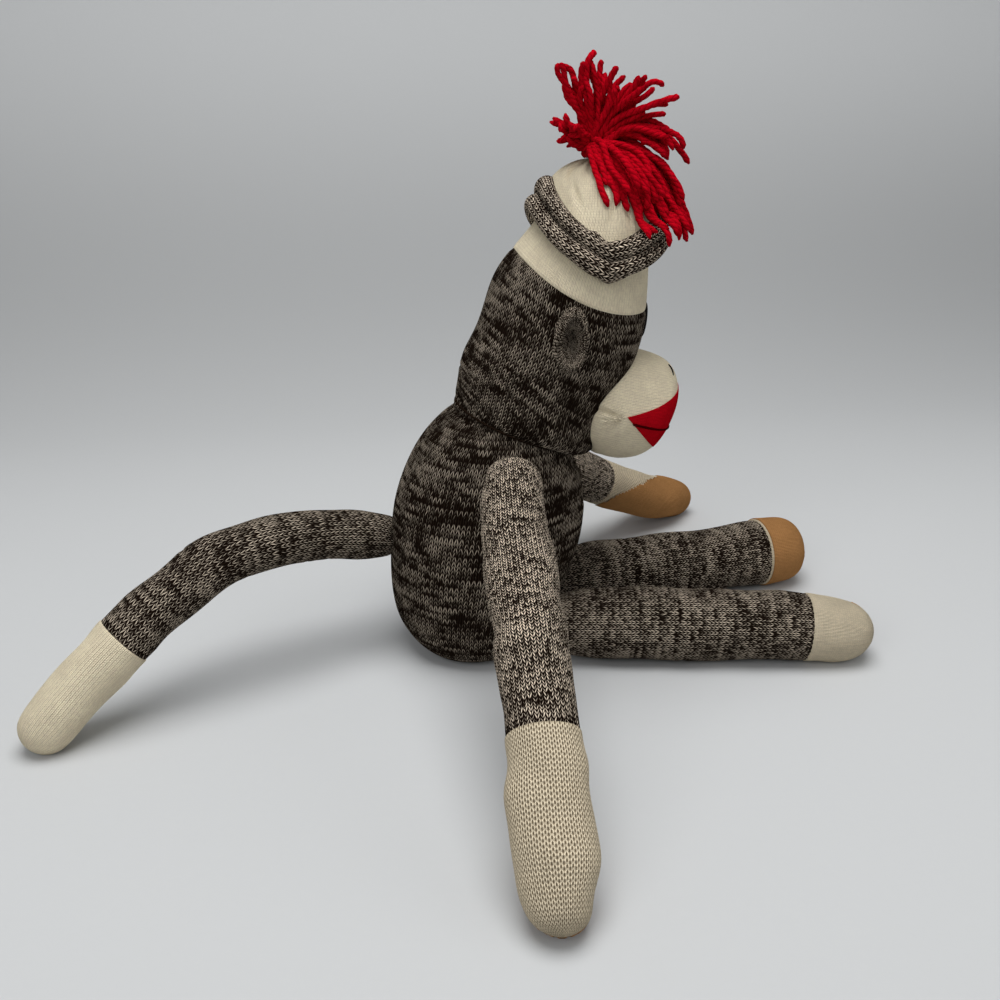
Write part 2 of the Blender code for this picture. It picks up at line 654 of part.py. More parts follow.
def build_muzzle(doll, cutters):
    """Muzzle on the face, the red mouth on it and the thread of the mouth line in its groove."""
    axis = Vector((math.cos(MUZZLE_LEAN), 0, -math.sin(MUZZLE_LEAN)))
    rise = axis.cross(LEFT) * -1
    base = NECK + AHEAD * MUZZLE_FORWARD + UP * MUZZLE_HEIGHT

    def form(name, grow, collection):
        stations = []
        for place, lift, wide, tall in MUZZLE_SHARES:
            centre = base + axis * (place * (MUZZLE_LONG + grow)) + rise * (lift * MUZZLE_TALL)
            stations.append((centre, LEFT, rise, wide * MUZZLE_WIDE + grow, tall * MUZZLE_TALL + grow))
        poles = []
        for place, lift in MUZZLE_END_SHARES:
            poles.append(base + axis * (place * (MUZZLE_LONG + grow)) + rise * (lift * MUZZLE_TALL))
        return swelling(name, stations, poles[0], poles[1], BODY_SIDES, collection)

    def wedge(name, rim):
        """Outline seen from the side, extruded across the whole face."""
        bm = bmesh.new()
        far = LEFT * (CUT_REACH / 4)
        bm.faces.new([bm.verts.new(point - far / 2) for point in rim])
        grown = bmesh.ops.extrude_face_region(bm, geom=bm.faces[:])
        moved = [part for part in grown["geom"] if isinstance(part, bmesh.types.BMVert)]
        bmesh.ops.translate(bm, verts=moved, vec=far)
        return as_cutter(add_mesh(name, bm, cutters))

    muzzle = form("muzzle", 0, doll)
    boolean(muzzle, as_cutter(head_form("muzzle_seat", GAP, cutters)))

    corner = NECK + AHEAD * MOUTH_CORNER_AHEAD + UP * MOUTH_CORNER_UP
    reach = CUT_REACH / 4
    top = corner + (AHEAD * math.cos(MOUTH_TOP) + UP * math.sin(MOUTH_TOP)) * reach
    bottom = corner + (AHEAD * math.cos(MOUTH_BOTTOM) + UP * math.sin(MOUTH_BOTTOM)) * reach
    mouth = form("mouth", MOUTH_THICK + GAP, doll)
    boolean(mouth, wedge("mouth_outline", (corner, bottom, top)), "INTERSECT")
    boolean(mouth, as_cutter(form("mouth_back", GAP, cutters)))
    boolean(mouth, as_cutter(head_form("mouth_seat", GAP, cutters)))

    way = AHEAD * math.cos(LINE_TURN) + UP * math.sin(LINE_TURN)
    over = way.cross(LEFT) * -1

    def strip(name, start, half):
        near = corner + way * start
        far = corner + way * reach
        return wedge(name, (near - over * half, far - over * half, far + over * half, near + over * half))

    half = LINE_THICK / 2
    groove = strip("line_groove", LINE_START - GAP, half + GAP)
    boolean(groove, as_cutter(form("line_floor", MOUTH_THICK + GAP - LINE_SINK, cutters)))
    boolean(mouth, groove)
    line = form("mouth_thread", MOUTH_THICK + 2 * GAP, doll)
    boolean(line, strip("line_outline", LINE_START, half), "INTERSECT")
    boolean(line, as_cutter(form("line_back", MOUTH_THICK + 2 * GAP - LINE_SINK, cutters)))

    nostrils = []
    for side, name in ((-1, "nostril_right"), (1, "nostril_left")):
        start = base + LEFT * (side * NOSTRIL_ASIDE)
        points = []
        for step in (-1, 0, 1):
            aim = NOSTRIL_HEIGHT + step * NOSTRIL_LONG / 2
            origin = start + UP * (aim - MUZZLE_HEIGHT)
            place, normal = hit(muzzle, origin, AHEAD)
            points.append(place + normal * (NOSTRIL_HALF + GAP))
        nostrils.append(tube(name, points, NOSTRIL_HALF, doll))
    return muzzle, mouth, line, nostrils


def build_eyes(doll, cutters):
    eyes = []
    seat = as_cutter(head_form("eye_seat", GAP, cutters))
    for side, name in ((-1, "eye_right"), (1, "eye_left")):
        way = heading(side * EYE_ANGLE)
        core = NECK + AHEAD * (HEAD_CORE_SHARE * HEAD_DEEP) + UP * (EYE_HEIGHT_SHARE * HEAD_TALL)
        place, normal = hit(seat, core, way)
        turn = AHEAD.rotation_difference(normal).to_matrix().to_4x4()
        eyes.append(boolean(ball(name, place, EYE_HALVES, doll, turn), seat))
    return eyes


def build_ears(doll, cutters):
    """Small cupped ears, sewn flat to the sides of the head."""
    ears = []
    seat = as_cutter(head_form("ear_seat", GAP, cutters))
    for side, name in ((-1, "ear_right"), (1, "ear_left")):
        way = heading(side * EAR_ANGLE)
        core = NECK + AHEAD * (HEAD_CORE_SHARE * HEAD_DEEP) + UP * (EAR_HEIGHT_SHARE * HEAD_TALL)
        place, _ = hit(seat, core, way)
        ear = ball(name, place, EAR_HALVES, doll)
        ahead, out, up = (half * share for half, share in zip(EAR_HALVES, CUP_SHIFT_SHARES))
        cup_place = place + AHEAD * ahead + LEFT * (side * out) + UP * up
        cup_halves = [half * share for half, share in zip(EAR_HALVES, CUP_SHARES)]
        boolean(ear, as_cutter(ball(f"{name}_cup", cup_place, cup_halves, cutters)))
        ears.append(boolean(ear, seat))
    return ears


def dish(torso, name, place, radius, cutters):
    """Round dish in the torso for a limb's root."""
    hollow = ball(name, place, (clear_of(radius),) * 3, cutters, segments=DISH_SEGMENTS)
    boolean(torso, as_cutter(hollow))


def pad_plane(inward, way, shares, half):
    """Direction of the plane behind a pad, and its distance from the limb's middle line."""
    inside, upward, lengthwise, depth = shares
    return (inward * inside + UP * upward + way * lengthwise).normalized(), depth * half


def part_limb(names, make, points, start_step, pad, cutters, floor):
    """Parts a limb at its knit change, and the end's pad from the end along a plane.

    pad is what pad_plane gives, or None.
    """
    seam, direction = along(points, start_step)
    over = half_space(f"{names[0]}_beyond", seam - direction * (GAP / 2), direction, cutters)
    under = half_space(f"{names[1]}_before", seam + direction * (GAP / 2), -direction, cutters)
    pieces = [boolean(make(names[0]), over), boolean(make(names[1]), under)]
    if pad:
        outward, distance = pad
        face = points[-1] + outward * distance
        pieces.append(boolean(make(names[2]), under))
        boolean(pieces[2], half_space(f"{names[2]}_behind", face + outward * (GAP / 2), -outward, cutters))
        boolean(pieces[1], half_space(f"{names[2]}_room", face - outward * (GAP / 2), outward, cutters))
    for piece in pieces:
        boolean(piece, floor)
    return pieces


def build_arm(side, label, reach, turn, rows, wrist, palm, doll, cutters, floor):
    shoulder = Vector((SHOULDER_FORWARD, side * SHOULDER_ASIDE, SHOULDER_HEIGHT))
    way = heading(turn)
    low = HAND_REST - REST_SINK
    points = []
    for out, height in rows:
        level = low + (SHOULDER_HEIGHT - low) * height
        points.append(Vector((shoulder.x, shoulder.y, level)) + way * (reach * out))
    halves = [(wide * ARM_HALF, thick * ARM_HALF) for wide, thick in ARM_SECTION_SHARES[:-1]]
    halves.append((ARM_SECTION_SHARES[-1][0] * ARM_HALF, HAND_REST))

    def make(name):
        return limb(name, points, halves, halves[0][0], HAND_REST * ARM_TIP_SHARE, doll)

    names = (f"arm_{label}", f"hand_{label}", f"palm_{label}")
    pad = pad_plane(way.cross(UP) * side, way, palm, ARM_HALF)
    return part_limb(names, make, points, wrist, pad, cutters, floor), shoulder, way


def build_leg(side, label, turn, rows, ankle, toe, sole, doll, cutters, floor):
    way = heading(turn)
    hip = Vector((HIP_FORWARD, side * HIP_ASIDE, LEG_HALF * LEG_ROOT_SHARE - FLAT))
    points = []
    halves = []
    for out, swell in ((0.0, LEG_ROOT_SHARE), *rows):
        half = LEG_HALF * swell
        points.append(Vector((hip.x, hip.y, half - FLAT)) + way * (LEG_REACH * out))
        halves.append((half, half))

    def make(name):
        return limb(name, points, halves, halves[0][0], halves[-1][0] * toe, doll)

    names = (f"leg_{label}", f"foot_{label}", f"sole_{label}")
    pad = pad_plane(way.cross(UP) * side, way, sole, LEG_HALF)
    return part_limb(names, make, points, ankle, pad, cutters, floor), hip, way


def build_tail(doll, cutters, floor):
    way = heading(TAIL_TURN)
    low = TAIL_HALF * TAIL_SECTION_SHARES[-1] - REST_SINK
    root = Vector((-TAIL_BEHIND, 0, TAIL_HEIGHT))
    points = []
    for out, height in TAIL_SHARES:
        level = low + (TAIL_HEIGHT - low) * height
        points.append(Vector((root.x, root.y, level)) + way * (TAIL_REACH * out))
    halves = [(TAIL_HALF * swell, TAIL_HALF * swell) for swell in TAIL_SECTION_SHARES]

    def make(name):
        return limb(name, points, halves, halves[0][0], halves[-1][0] * TAIL_END_SHARE, doll)

    return part_limb(("tail", "tail_tip"), make, points, TAIL_TIP_START_SHARE, None, cutters, floor), root


def main():
    clear_scene()
    doll = new_collection("sock_monkey_doll")
    cutters = new_collection("cutters")
    floor = half_space("floor_cut", Vector((0, 0, 0)), -UP, cutters)

    torso = boolean(build_torso(doll, cutters), floor)
    thread = neck_thread(doll)
    head, head_top = build_head(doll, cutters)
    crown, brim, outside = build_cap(doll, cutters)
    tuft, tie, knot = build_tuft(doll, cutters, outside)
    muzzle, mouth, line, nostrils = build_muzzle(doll, cutters)
    eyes = build_eyes(doll, cutters)
    ears = build_ears(doll, cutters)

    arms = []
    right = (RIGHT_ARM_REACH, RIGHT_ARM_TURN, RIGHT_ARM_SHARES, RIGHT_WRIST_SHARE, RIGHT_PALM_SHARES)
    left = (LEFT_ARM_REACH, LEFT_ARM_TURN, LEFT_ARM_SHARES, LEFT_WRIST_SHARE, LEFT_PALM_SHARES)
    for side, label, pose in ((-1, "right", right), (1, "left", left)):
        pieces, shoulder, way = build_arm(side, label, *pose, doll, cutters, floor)
        dish(torso, f"shoulder_dish_{label}", shoulder, ARM_HALF * ARM_SECTION_SHARES[0][0], cutters)
        carry(pivot(f"shoulder_{label}", shoulder, way.cross(UP), doll), pieces)
        arms.append(pieces)

    legs = []
    right = (RIGHT_LEG_TURN, RIGHT_LEG_SHARES, RIGHT_ANKLE_SHARE, RIGHT_TOE_SHARE, RIGHT_SOLE_SHARES)
    left = (LEFT_LEG_TURN, LEFT_LEG_SHARES, LEFT_ANKLE_SHARE, LEFT_TOE_SHARE, LEFT_SOLE_SHARES)
    for side, label, pose in ((-1, "right", right), (1, "left", left)):
        pieces, hip, way = build_leg(side, label, *pose, doll, cutters, floor)
        dish(torso, f"hip_dish_{label}", hip, LEG_HALF * LEG_ROOT_SHARE, cutters)
        carry(pivot(f"hip_{label}", hip, way.cross(UP), doll), pieces)
        legs.append(pieces)

    tail_pieces, root = build_tail(doll, cutters, floor)
    dish(torso, "tail_dish", root, TAIL_HALF * TAIL_SECTION_SHARES[0], cutters)
    carry(pivot("tail_root", root, UP, doll), tail_pieces)

    carry(pivot("neck_turn", NECK, NECK_AXIS, doll), [thread])
    carry(pivot("neck_nod", NECK, LEFT, doll),
          [head, head_top, crown, brim, muzzle, mouth, line, *nostrils, *eyes, *ears])
    carry(pivot("tuft_sway", knot, AHEAD, doll), [tuft, tie])

    marl = [torso, head, brim, *ears, tail_pieces[0], *(pieces[0] for pieces in arms + legs)]
    cream = [head_top, crown, muzzle, tail_pieces[1], *(pieces[1] for pieces in arms + legs)]
    tan = [pieces[2] for pieces in arms + legs]
    for finish, things in (("marl", marl), ("cream", cream), ("tan", tan), ("red", [mouth, tuft, tie]),
                           ("black", [thread, line, *nostrils, *eyes])):
        for thing in things:
            paint(thing, finish)


if __name__ == "__main__":
    main()
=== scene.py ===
"""Sock monkey doll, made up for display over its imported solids.

Metres, +Z up. +X is the way the doll faces and +Y is its left.
Each knitted skin is a grid of rings round a stuffed form. Its stitches are counted in columns round the form
and in courses along it, and the knit materials draw one stitch to each of those cells.
"""
import math
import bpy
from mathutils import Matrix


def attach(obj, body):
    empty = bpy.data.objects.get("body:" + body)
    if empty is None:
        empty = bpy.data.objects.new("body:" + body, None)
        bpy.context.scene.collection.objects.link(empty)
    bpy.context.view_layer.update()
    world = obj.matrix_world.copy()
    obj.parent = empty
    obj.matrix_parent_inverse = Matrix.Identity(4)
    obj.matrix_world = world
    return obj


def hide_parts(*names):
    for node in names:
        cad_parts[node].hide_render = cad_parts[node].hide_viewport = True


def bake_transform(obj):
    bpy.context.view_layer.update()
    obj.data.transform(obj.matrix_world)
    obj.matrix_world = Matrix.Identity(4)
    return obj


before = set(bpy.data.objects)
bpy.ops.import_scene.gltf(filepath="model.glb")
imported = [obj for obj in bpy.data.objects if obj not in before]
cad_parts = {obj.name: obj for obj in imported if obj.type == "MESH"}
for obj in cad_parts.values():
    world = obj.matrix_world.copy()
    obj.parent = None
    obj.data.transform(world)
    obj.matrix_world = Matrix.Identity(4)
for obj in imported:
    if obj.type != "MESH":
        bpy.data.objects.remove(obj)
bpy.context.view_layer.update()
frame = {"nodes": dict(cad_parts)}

from types import SimpleNamespace

import bmesh
import bpy
import numpy as np
from mathutils import Vector
from mathutils.bvhtree import BVHTree

bl_info = {
    "name": "Sock monkey doll",
    "version": (1, 0, 0),
    "blender": (4, 5, 0),
    "location": "View3D > Sidebar > Doll",
    "description": "Makes the knitted skins, yarn and thread of a stuffed sock monkey",
    "category": "Object",
}

UP = np.array((0.0, 0.0, 1.0))
AHEAD = np.array((1.0, 0.0, 0.0))
LEFT = np.array((0.0, 1.0, 0.0))
SIDES = {"right": -1, "left": 1}
TAU = math.tau

# Neck: the point that the head's shapes are set out from, and the leaning axis of the neck
NECK = np.array((0.017, 0.0, 0.145))
NECK_LEAN = math.radians(22)
NECK_AXIS = np.array((math.sin(NECK_LEAN), 0.0, math.cos(NECK_LEAN)))
NECK_AHEAD = np.array((math.cos(NECK_LEAN), 0.0, -math.sin(NECK_LEAN)))
NECK_GATHERS, NECK_GATHER_DEPTH = 46, 0.0007

# Torso: height, middle, depth and width at each level, as shares
TORSO_TALL, TORSO_DEEP, TORSO_WIDE = 0.163, 0.1196, 0.112
TORSO_SHARES = (
    (-0.006, -0.05, 0.60, 0.71), (0.074, -0.083, 0.79, 0.89), (0.184, -0.08, 0.87, 0.97),
    (0.368, -0.033, 0.99, 1.0), (0.521, -0.01, 1.0, 0.99), (0.632, 0.004, 0.96, 0.955),
    (0.736, 0.03, 0.90, 0.893), (0.828, 0.055, 0.82, 0.815), (0.908, 0.08, 0.69, 0.723),
    (0.969, 0.08, 0.49, 0.571),
)
TORSO_END_SHARES = (-0.037, 1.0)
TORSO_SKIN_START, TORSO_ROUND = 0.004, 0.054
CHIN_HOLLOW, CHIN_HOLLOW_HEIGHT = 0.0050, 0.127

# Head: front point, back point and half width of each leaning oval over the neck, then level ovals
HEAD_TALL, HEAD_DEEP, HEAD_WIDE = 0.145, 0.1024, 0.096
HEAD_FOLD_ROWS = (
    (0.0606, 0.1272, -0.0192, 0.1645, 0.0415), (0.0672, 0.1330, -0.0186, 0.1705, 0.0434),
    (0.0702, 0.1480, -0.0174, 0.1770, 0.0445), (0.0785, 0.1660, -0.0160, 0.1840, 0.0455),
    (0.0885, 0.1840, -0.0140, 0.1915, 0.0468),
)
HEAD_SHARES = (
    (0.40, 0.244, 0.967, 1.0), (0.559, 0.293, 0.889, 0.96), (0.683, 0.3345, 0.796, 0.875),
    (0.807, 0.422, 0.645, 0.73), (0.897, 0.438, 0.50, 0.55),
)
HEAD_END_SHARES = (0.985, 0.42)
HEAD_CORE, HEAD_ROUND, HEAD_TOP_ROUND = 0.029, 0.049, 0.047
BAND_HEIGHT, BAND_SLOPE, BAND_DIP = 0.0905, 0.44, 0.010

# Cap
CAP_WALL = 0.0022
CROWN_SHARES = (
    (0.60, 0.31, 0.885, 0.96), (0.72, 0.365, 0.79, 0.87), (0.807, 0.423, 0.70, 0.77),
    (0.893, 0.438, 0.59, 0.64), (0.96, 0.437, 0.48, 0.52), (1.01, 0.42, 0.35, 0.38),
)
CROWN_END_SHARES = (1.062, 0.40)
CROWN_ROUND, CROWN_PLEATS, CROWN_PLEAT_DEPTH = 0.040, 11, 0.0012
BRIM_CORE, BRIM_HEIGHT, BRIM_LEAN, BRIM_DIP, BRIM_POINT = 0.0435, 0.1198, 0.0082, 0.0218, 1.2
BRIM_UNDERSIDE = 0.08
RIDGE_HALF, RIDGE_STEP, RIDGE_OUT = 0.0062, 0.0096, 0.0008
LOWER_RIDGE, UPPER_RIDGE = (0.95, -1.9, 1.7), (0.90, -1.7, 2.1)

# Yarn tuft: knot, then the tips of its standing strands from the knot: ahead, aside and up
KNOT = np.array((0.05796, 0.0, 0.302491))
KNOT_HALF, KNOT_TIE, KNOT_TIE_HALF = 0.0052, 0.0068, 0.0013
FAN_TIPS = ((-0.020, -0.006, 0.041), (-0.017, 0.005, 0.046), (-0.009, -0.010, 0.044), (-0.001, 0.0, 0.051),
            (0.006, 0.010, 0.044), (0.011, -0.008, 0.040), (0.017, 0.006, 0.038), (0.024, -0.010, 0.036),
            (0.029, -0.004, 0.038), (0.033, 0.012, 0.034), (0.040, 0.007, 0.033), (0.042, -0.010, 0.025),
            (0.041, 0.0, 0.018), (0.045, 0.004, 0.012), (0.040, -0.013, 0.008), (0.056, 0.003, -0.006),
            (0.050, -0.010, -0.001), (0.046, 0.012, 0.002), (-0.021, -0.005, 0.010), (-0.021, 0.006, 0.015),
            (-0.018, -0.010, 0.018), (-0.019, 0.001, 0.005), (-0.014, 0.010, 0.007), (-0.015, -0.012, 0.011))
DROOP_START, DROOP_ARC, DROOP_MOST = -84, 140, 0.047

# Muzzle and the face
MUZZLE_BASE = NECK + AHEAD * 0.070 + UP * 0.0095
MUZZLE_LEAN = math.radians(14)
MUZZLE_LONG, MUZZLE_WIDE, MUZZLE_TALL, MUZZLE_ROUND = 0.0315, 0.0375, 0.0345, 0.036
MUZZLE_SHARES = ((-1.1, 0.0, 0.90, 0.90), (-0.55, 0.0, 0.98, 0.97), (-0.08, 0.0, 0.99, 1.0),
                 (0.26, 0.04, 0.93, 0.93), (0.54, 0.12, 0.77, 0.77), (0.73, 0.20, 0.48, 0.48))
MUZZLE_END_SHARES = ((-1.4, 0.0), (0.80, 0.23))
MOUTH_CORNER = NECK + AHEAD * 0.0595 + UP * 0.0132
MOUTH_TOP, MOUTH_BOTTOM, MOUTH_LINE = math.radians(12), math.radians(-50), math.radians(-17.3)
MOUTH_RISE, LINE_START, LINE_DROP, LINE_HALF_TURN = 0.0004, 0.001, 0.0035, 1.50
NOSTRIL_ASIDE, NOSTRIL_LEAN, NOSTRIL_HEIGHT, NOSTRIL_LONG = 0.0125, 0.0080, 0.0335, 0.0050
EYE_TURN, EYE_HEIGHT, EYE_HALVES = math.radians(13.5), 0.064, (0.0018, 0.0056, 0.0100)
EAR_TURN, EAR_HEIGHT, EAR_HALVES = math.radians(97), 0.0615, (0.0090, 0.0088, 0.0176)
EAR_PROFILE = ((1.02, -0.10), (1.05, 0.10), (1.04, 0.35), (0.98, 0.60), (0.88, 0.80), (0.78, 0.87),
               (0.68, 0.80), (0.60, 0.62), (0.50, 0.45), (0.38, 0.34), (0.24, 0.28), (0.10, 0.26))
EAR_PROFILE_LONG, EAR_COLUMNS = 0.034, 30

# Limbs
SHOULDER = np.array((0.006, 0.0625, 0.128))
ARM_HALF, HAND_REST, REST_SINK = 0.0185, 0.0160, 0.0017
ARM_REACHES = {"right": 0.190, "left": 0.2085}
ARM_TURNS = {"right": math.radians(-91.2), "left": math.radians(35.4)}
ARM_SHARES = {
    "right": ((0.0, 1.0), (0.165, 0.785), (0.345, 0.66), (0.53, 0.575), (0.69, 0.44), (0.84, 0.255),
              (0.935, 0.11), (1.0, 0.0)),
    "left": ((0.0, 1.0), (0.155, 0.79), (0.31, 0.595), (0.47, 0.42), (0.61, 0.283), (0.76, 0.155),
             (0.89, 0.05), (1.0, 0.0)),
}
ARM_SECTION_SHARES = ((0.95, 0.95), (1.03, 1.02), (1.05, 1.03), (0.98, 0.97), (0.90, 0.92), (1.03, 0.95),
                      (1.10, 0.93), (0.84, 0.865))
WRIST_SHARES = {"right": 4.2, "left": 3.5}
ARM_TIP_SHARE = 0.90
PALM_SHARES = {"right": (0.17, -0.86, -0.48, 0.35), "left": (0.55, -0.83, 0.044, -1.15)}
HIP = np.array((0.052, 0.031, 0.0))
LEG_HALF, LEG_REACH, FLAT = 0.0225, 0.167, 0.0005
LEG_TURNS = {"right": math.radians(-8.0), "left": math.radians(8.6)}
LEG_SHARES = {
    "right": ((0.0, 0.985), (0.25, 1.01), (0.5, 1.0), (0.72, 0.97), (0.88, 0.94), (1.0, 0.85)),
    "left": ((0.0, 0.985), (0.25, 1.01), (0.5, 1.0), (0.72, 1.0), (0.88, 1.05), (1.0, 1.04)),
}
ANKLE_SHARES = {"right": 3.9, "left": 4.2}
TOE_SHARES = {"right": 0.98, "left": 0.80}
SOLE_SHARES = {"right": (0.914, 0.0, 0.407, 0.52), "left": (0.88, 0.30, 0.36, -0.95)}
TAIL_ROOT = np.array((-0.068, 0.0, 0.074))
TAIL_HALF, TAIL_REACH, TAIL_TURN = 0.0155, 0.2055, math.radians(207.1)
TAIL_SHARES = ((0.0, 1.0), (0.10, 1.13), (0.225, 1.215), (0.35, 1.25), (0.455, 1.225), (0.56, 1.11),
               (0.665, 0.90), (0.775, 0.655), (0.89, 0.34), (1.0, 0.0))
TAIL_SECTION_SHARES = (0.93, 0.95, 0.98, 1.0, 1.0, 1.0, 1.02, 1.06, 1.06, 1.0)
TAIL_TIP_START_SHARE, TAIL_END_SHARE = 7.05, 0.95
DOME_ANGLES, DOME_SHARE, DOME_POLE_SHARE = (36, 66), 1.03, 1.05
DOME_STATIONS = 3

# Pressed folds: turn in degrees, length, slant in degrees, half length, width and depth of each
TORSO_FOLDS = ((-12, 0.105, 6, 0.030, 0.0022, 0.0011), (10, 0.122, -5, 0.028, 0.0020, 0.0010),
               (-20, 0.140, 4, 0.026, 0.0020, 0.0009), (16, 0.092, 3, 0.024, 0.0022, 0.0010),
               (-50, 0.160, 18, 0.020, 0.0020, 0.0010), (50, 0.160, -18, 0.020, 0.0020, 0.0010),
               (150, 0.120, 10, 0.030, 0.0025, 0.0009), (-150, 0.125, -12, 0.030, 0.0025, 0.0009))
HEAD_FOLDS = ((180, 0.030, 4, 0.030, 0.0022, 0.0008), (-140, 0.040, -14, 0.022, 0.0020, 0.0007),
              (140, 0.040, 14, 0.022, 0.0020, 0.0007), (-75, 0.022, -10, 0.020, 0.0020, 0.0008),
              (75, 0.022, 10, 0.020, 0.0020, 0.0008))
CROWN_FOLDS = ((-150, 0.018, 70, 0.014, 0.0022, 0.0022), (-85, 0.040, 96, 0.016, 0.0018, 0.0020),
               (-125, 0.034, 60, 0.014, 0.0020, 0.0015), (40, 0.024, 80, 0.014, 0.0020, 0.0018),
               (110, 0.022, 95, 0.014, 0.0022, 0.0018), (-70, 0.046, 78, 0.012, 0.0014, 0.0012))
ARM_FOLDS = ((90, 0.060, 8, 0.016, 0.0018, 0.0007), (80, 0.072, -6, 0.014, 0.0016, 0.0006),
             (-90, 0.095, 5, 0.018, 0.0020, 0.0007), (10, 0.120, -12, 0.014, 0.0018, 0.0006))
LEG_FOLDS = ((90, 0.050, 6, 0.020, 0.0022, 0.0008), (100, 0.085, -8, 0.018, 0.0020, 0.0007),
             (-60, 0.100, 8, 0.020, 0.0022, 0.0007), (0, 0.070, -6, 0.018, 0.0020, 0.0007))
TOE_CREASE_FROM_END, TOE_CREASE = 0.016, (90, 0.012, 0.0011, 0.0010)
TAIL_FOLDS = ((-90, 0.060, 0, 0.012, 0.0018, 0.0008), (-90, 0.075, 5, 0.012, 0.0016, 0.0006),
              (-90, 0.115, -6, 0.012, 0.0018, 0.0008), (60, 0.140, 10, 0.012, 0.0016, 0.0006))

# Threads: length of thread to one unit of its map, and length of one turn of the yarn's plies
THREAD_COURSE, YARN_COURSE, YARN_TWIST = 0.002, 0.0037, 0.011
PATCH_EDGE = 0.0012
POLE_GAP = 0.0012

# Stage
CAMERA_PLACE = Vector((-0.0620, -0.5750, 0.3332))
CAMERA_AIM = Vector((0.1105, 0.9182, -0.3804))
FLOOR_FRONT, FLOOR_BACK, WALL_BEND, WALL_TOP, STAGE_HALF = -1.6, 0.45, 0.9, 2.6, 3.0
LAMPS = (("ceiling", (0.0, -0.15, 1.35), (0.0, 0.0, 0.0), 1.0, 15.0),
         ("window", (-1.1, -1.4, 1.3), (0.0, 0.0, 0.15), 1.2, 9.0),
         ("fill", (1.5, -0.8, 0.8), (0.0, 0.0, 0.12), 1.2, 3.0))
ROOM_COLOUR, ROOM_LIGHT = (0.98, 0.99, 1.0, 1.0), 0.30


def size_setting(name, description, default, low, high):
    return bpy.props.FloatProperty(name=name, description=description, default=default, min=low, max=high,
                                   unit="LENGTH")


def colour_setting(name, description, default):
    return bpy.props.FloatVectorProperty(name=name, description=description, default=default, size=3, min=0,
                                         max=1, subtype="COLOR")


class DollSizes(bpy.types.PropertyGroup):
    """Sizes of the knit, the yarn and the seams."""

    column: size_setting("Stitch width", "Width of one knitted column", 0.0030, 0.001, 0.005)
    course: size_setting("Stitch height", "Height of one knitted course", 0.0028, 0.001, 0.005)
    fine_column: size_setting("Fine stitch width", "Column of the fine cream knit", 0.0019, 0.001, 0.005)
    fine_course: size_setting("Fine stitch height", "Course of the fine cream knit", 0.0015, 0.001, 0.005)
    knit_depth: size_setting("Knit depth", "Depth of the gaps between stitches", 0.0009, 0.0, 0.002)
    neck_ring: size_setting("Neck ring", "Radius of the gathered neck", 0.0395, 0.03, 0.05)
    pad_rise: size_setting("Pad rise", "How far palms and soles stand proud", 0.0003, 0.0, 0.002)
    yarn_half: size_setting("Yarn radius", "Radius of one strand of the tuft", 0.00165, 0.0005, 0.004)
    strands: bpy.props.IntProperty(name="Strands", description="Strands of yarn at each tip of the tuft",
                                   default=3, min=1, max=8)
    drooping: bpy.props.IntProperty(name="Drooping strands", description="Strands that fall over the cap",
                                    default=94, min=2, max=120)


class DollColours(bpy.types.PropertyGroup):
    """Colours of the yarns, cloths and threads."""

    marl_dark: colour_setting("Marl dark", "Dark ply of the marl yarn", (0.0125, 0.0075, 0.0048))
    marl_pale: colour_setting("Marl pale", "Pale ply of the marl yarn", (0.74, 0.62, 0.485))
    cream: colour_setting("Cream", "Cream knit", (0.86, 0.74, 0.54))
    # The gap colours are painted shade for the holes and rib lines between stitches
    cream_gap_shade: colour_setting("Cream gaps", "Gaps between cream stitches", (0.24, 0.15, 0.07))
    tan: colour_setting("Tan", "Palms and soles", (0.45, 0.225, 0.085))
    tan_gap_shade: colour_setting("Tan gaps", "Gaps between tan stitches", (0.16, 0.07, 0.015))
    red_cloth: colour_setting("Red cloth", "Mouth", (0.42, 0.003, 0.009))
    red_yarn: colour_setting("Red yarn", "Tuft", (0.42, 0.002, 0.009))
    thread: colour_setting("Thread", "Eyes and nostrils", (0.010, 0.009, 0.009))
    line_thread: colour_setting("Mouth thread", "Line of the mouth", (0.035, 0.0005, 0.001))
    backdrop: colour_setting("Backdrop", "Floor and backdrop", (0.555, 0.565, 0.57))


def tinted(colour, share, most=1.0):
    return [min(most, c * share) for c in colour]


def rgba(colour, share=1.0):
    return (*tinted(colour, share), 1.0)


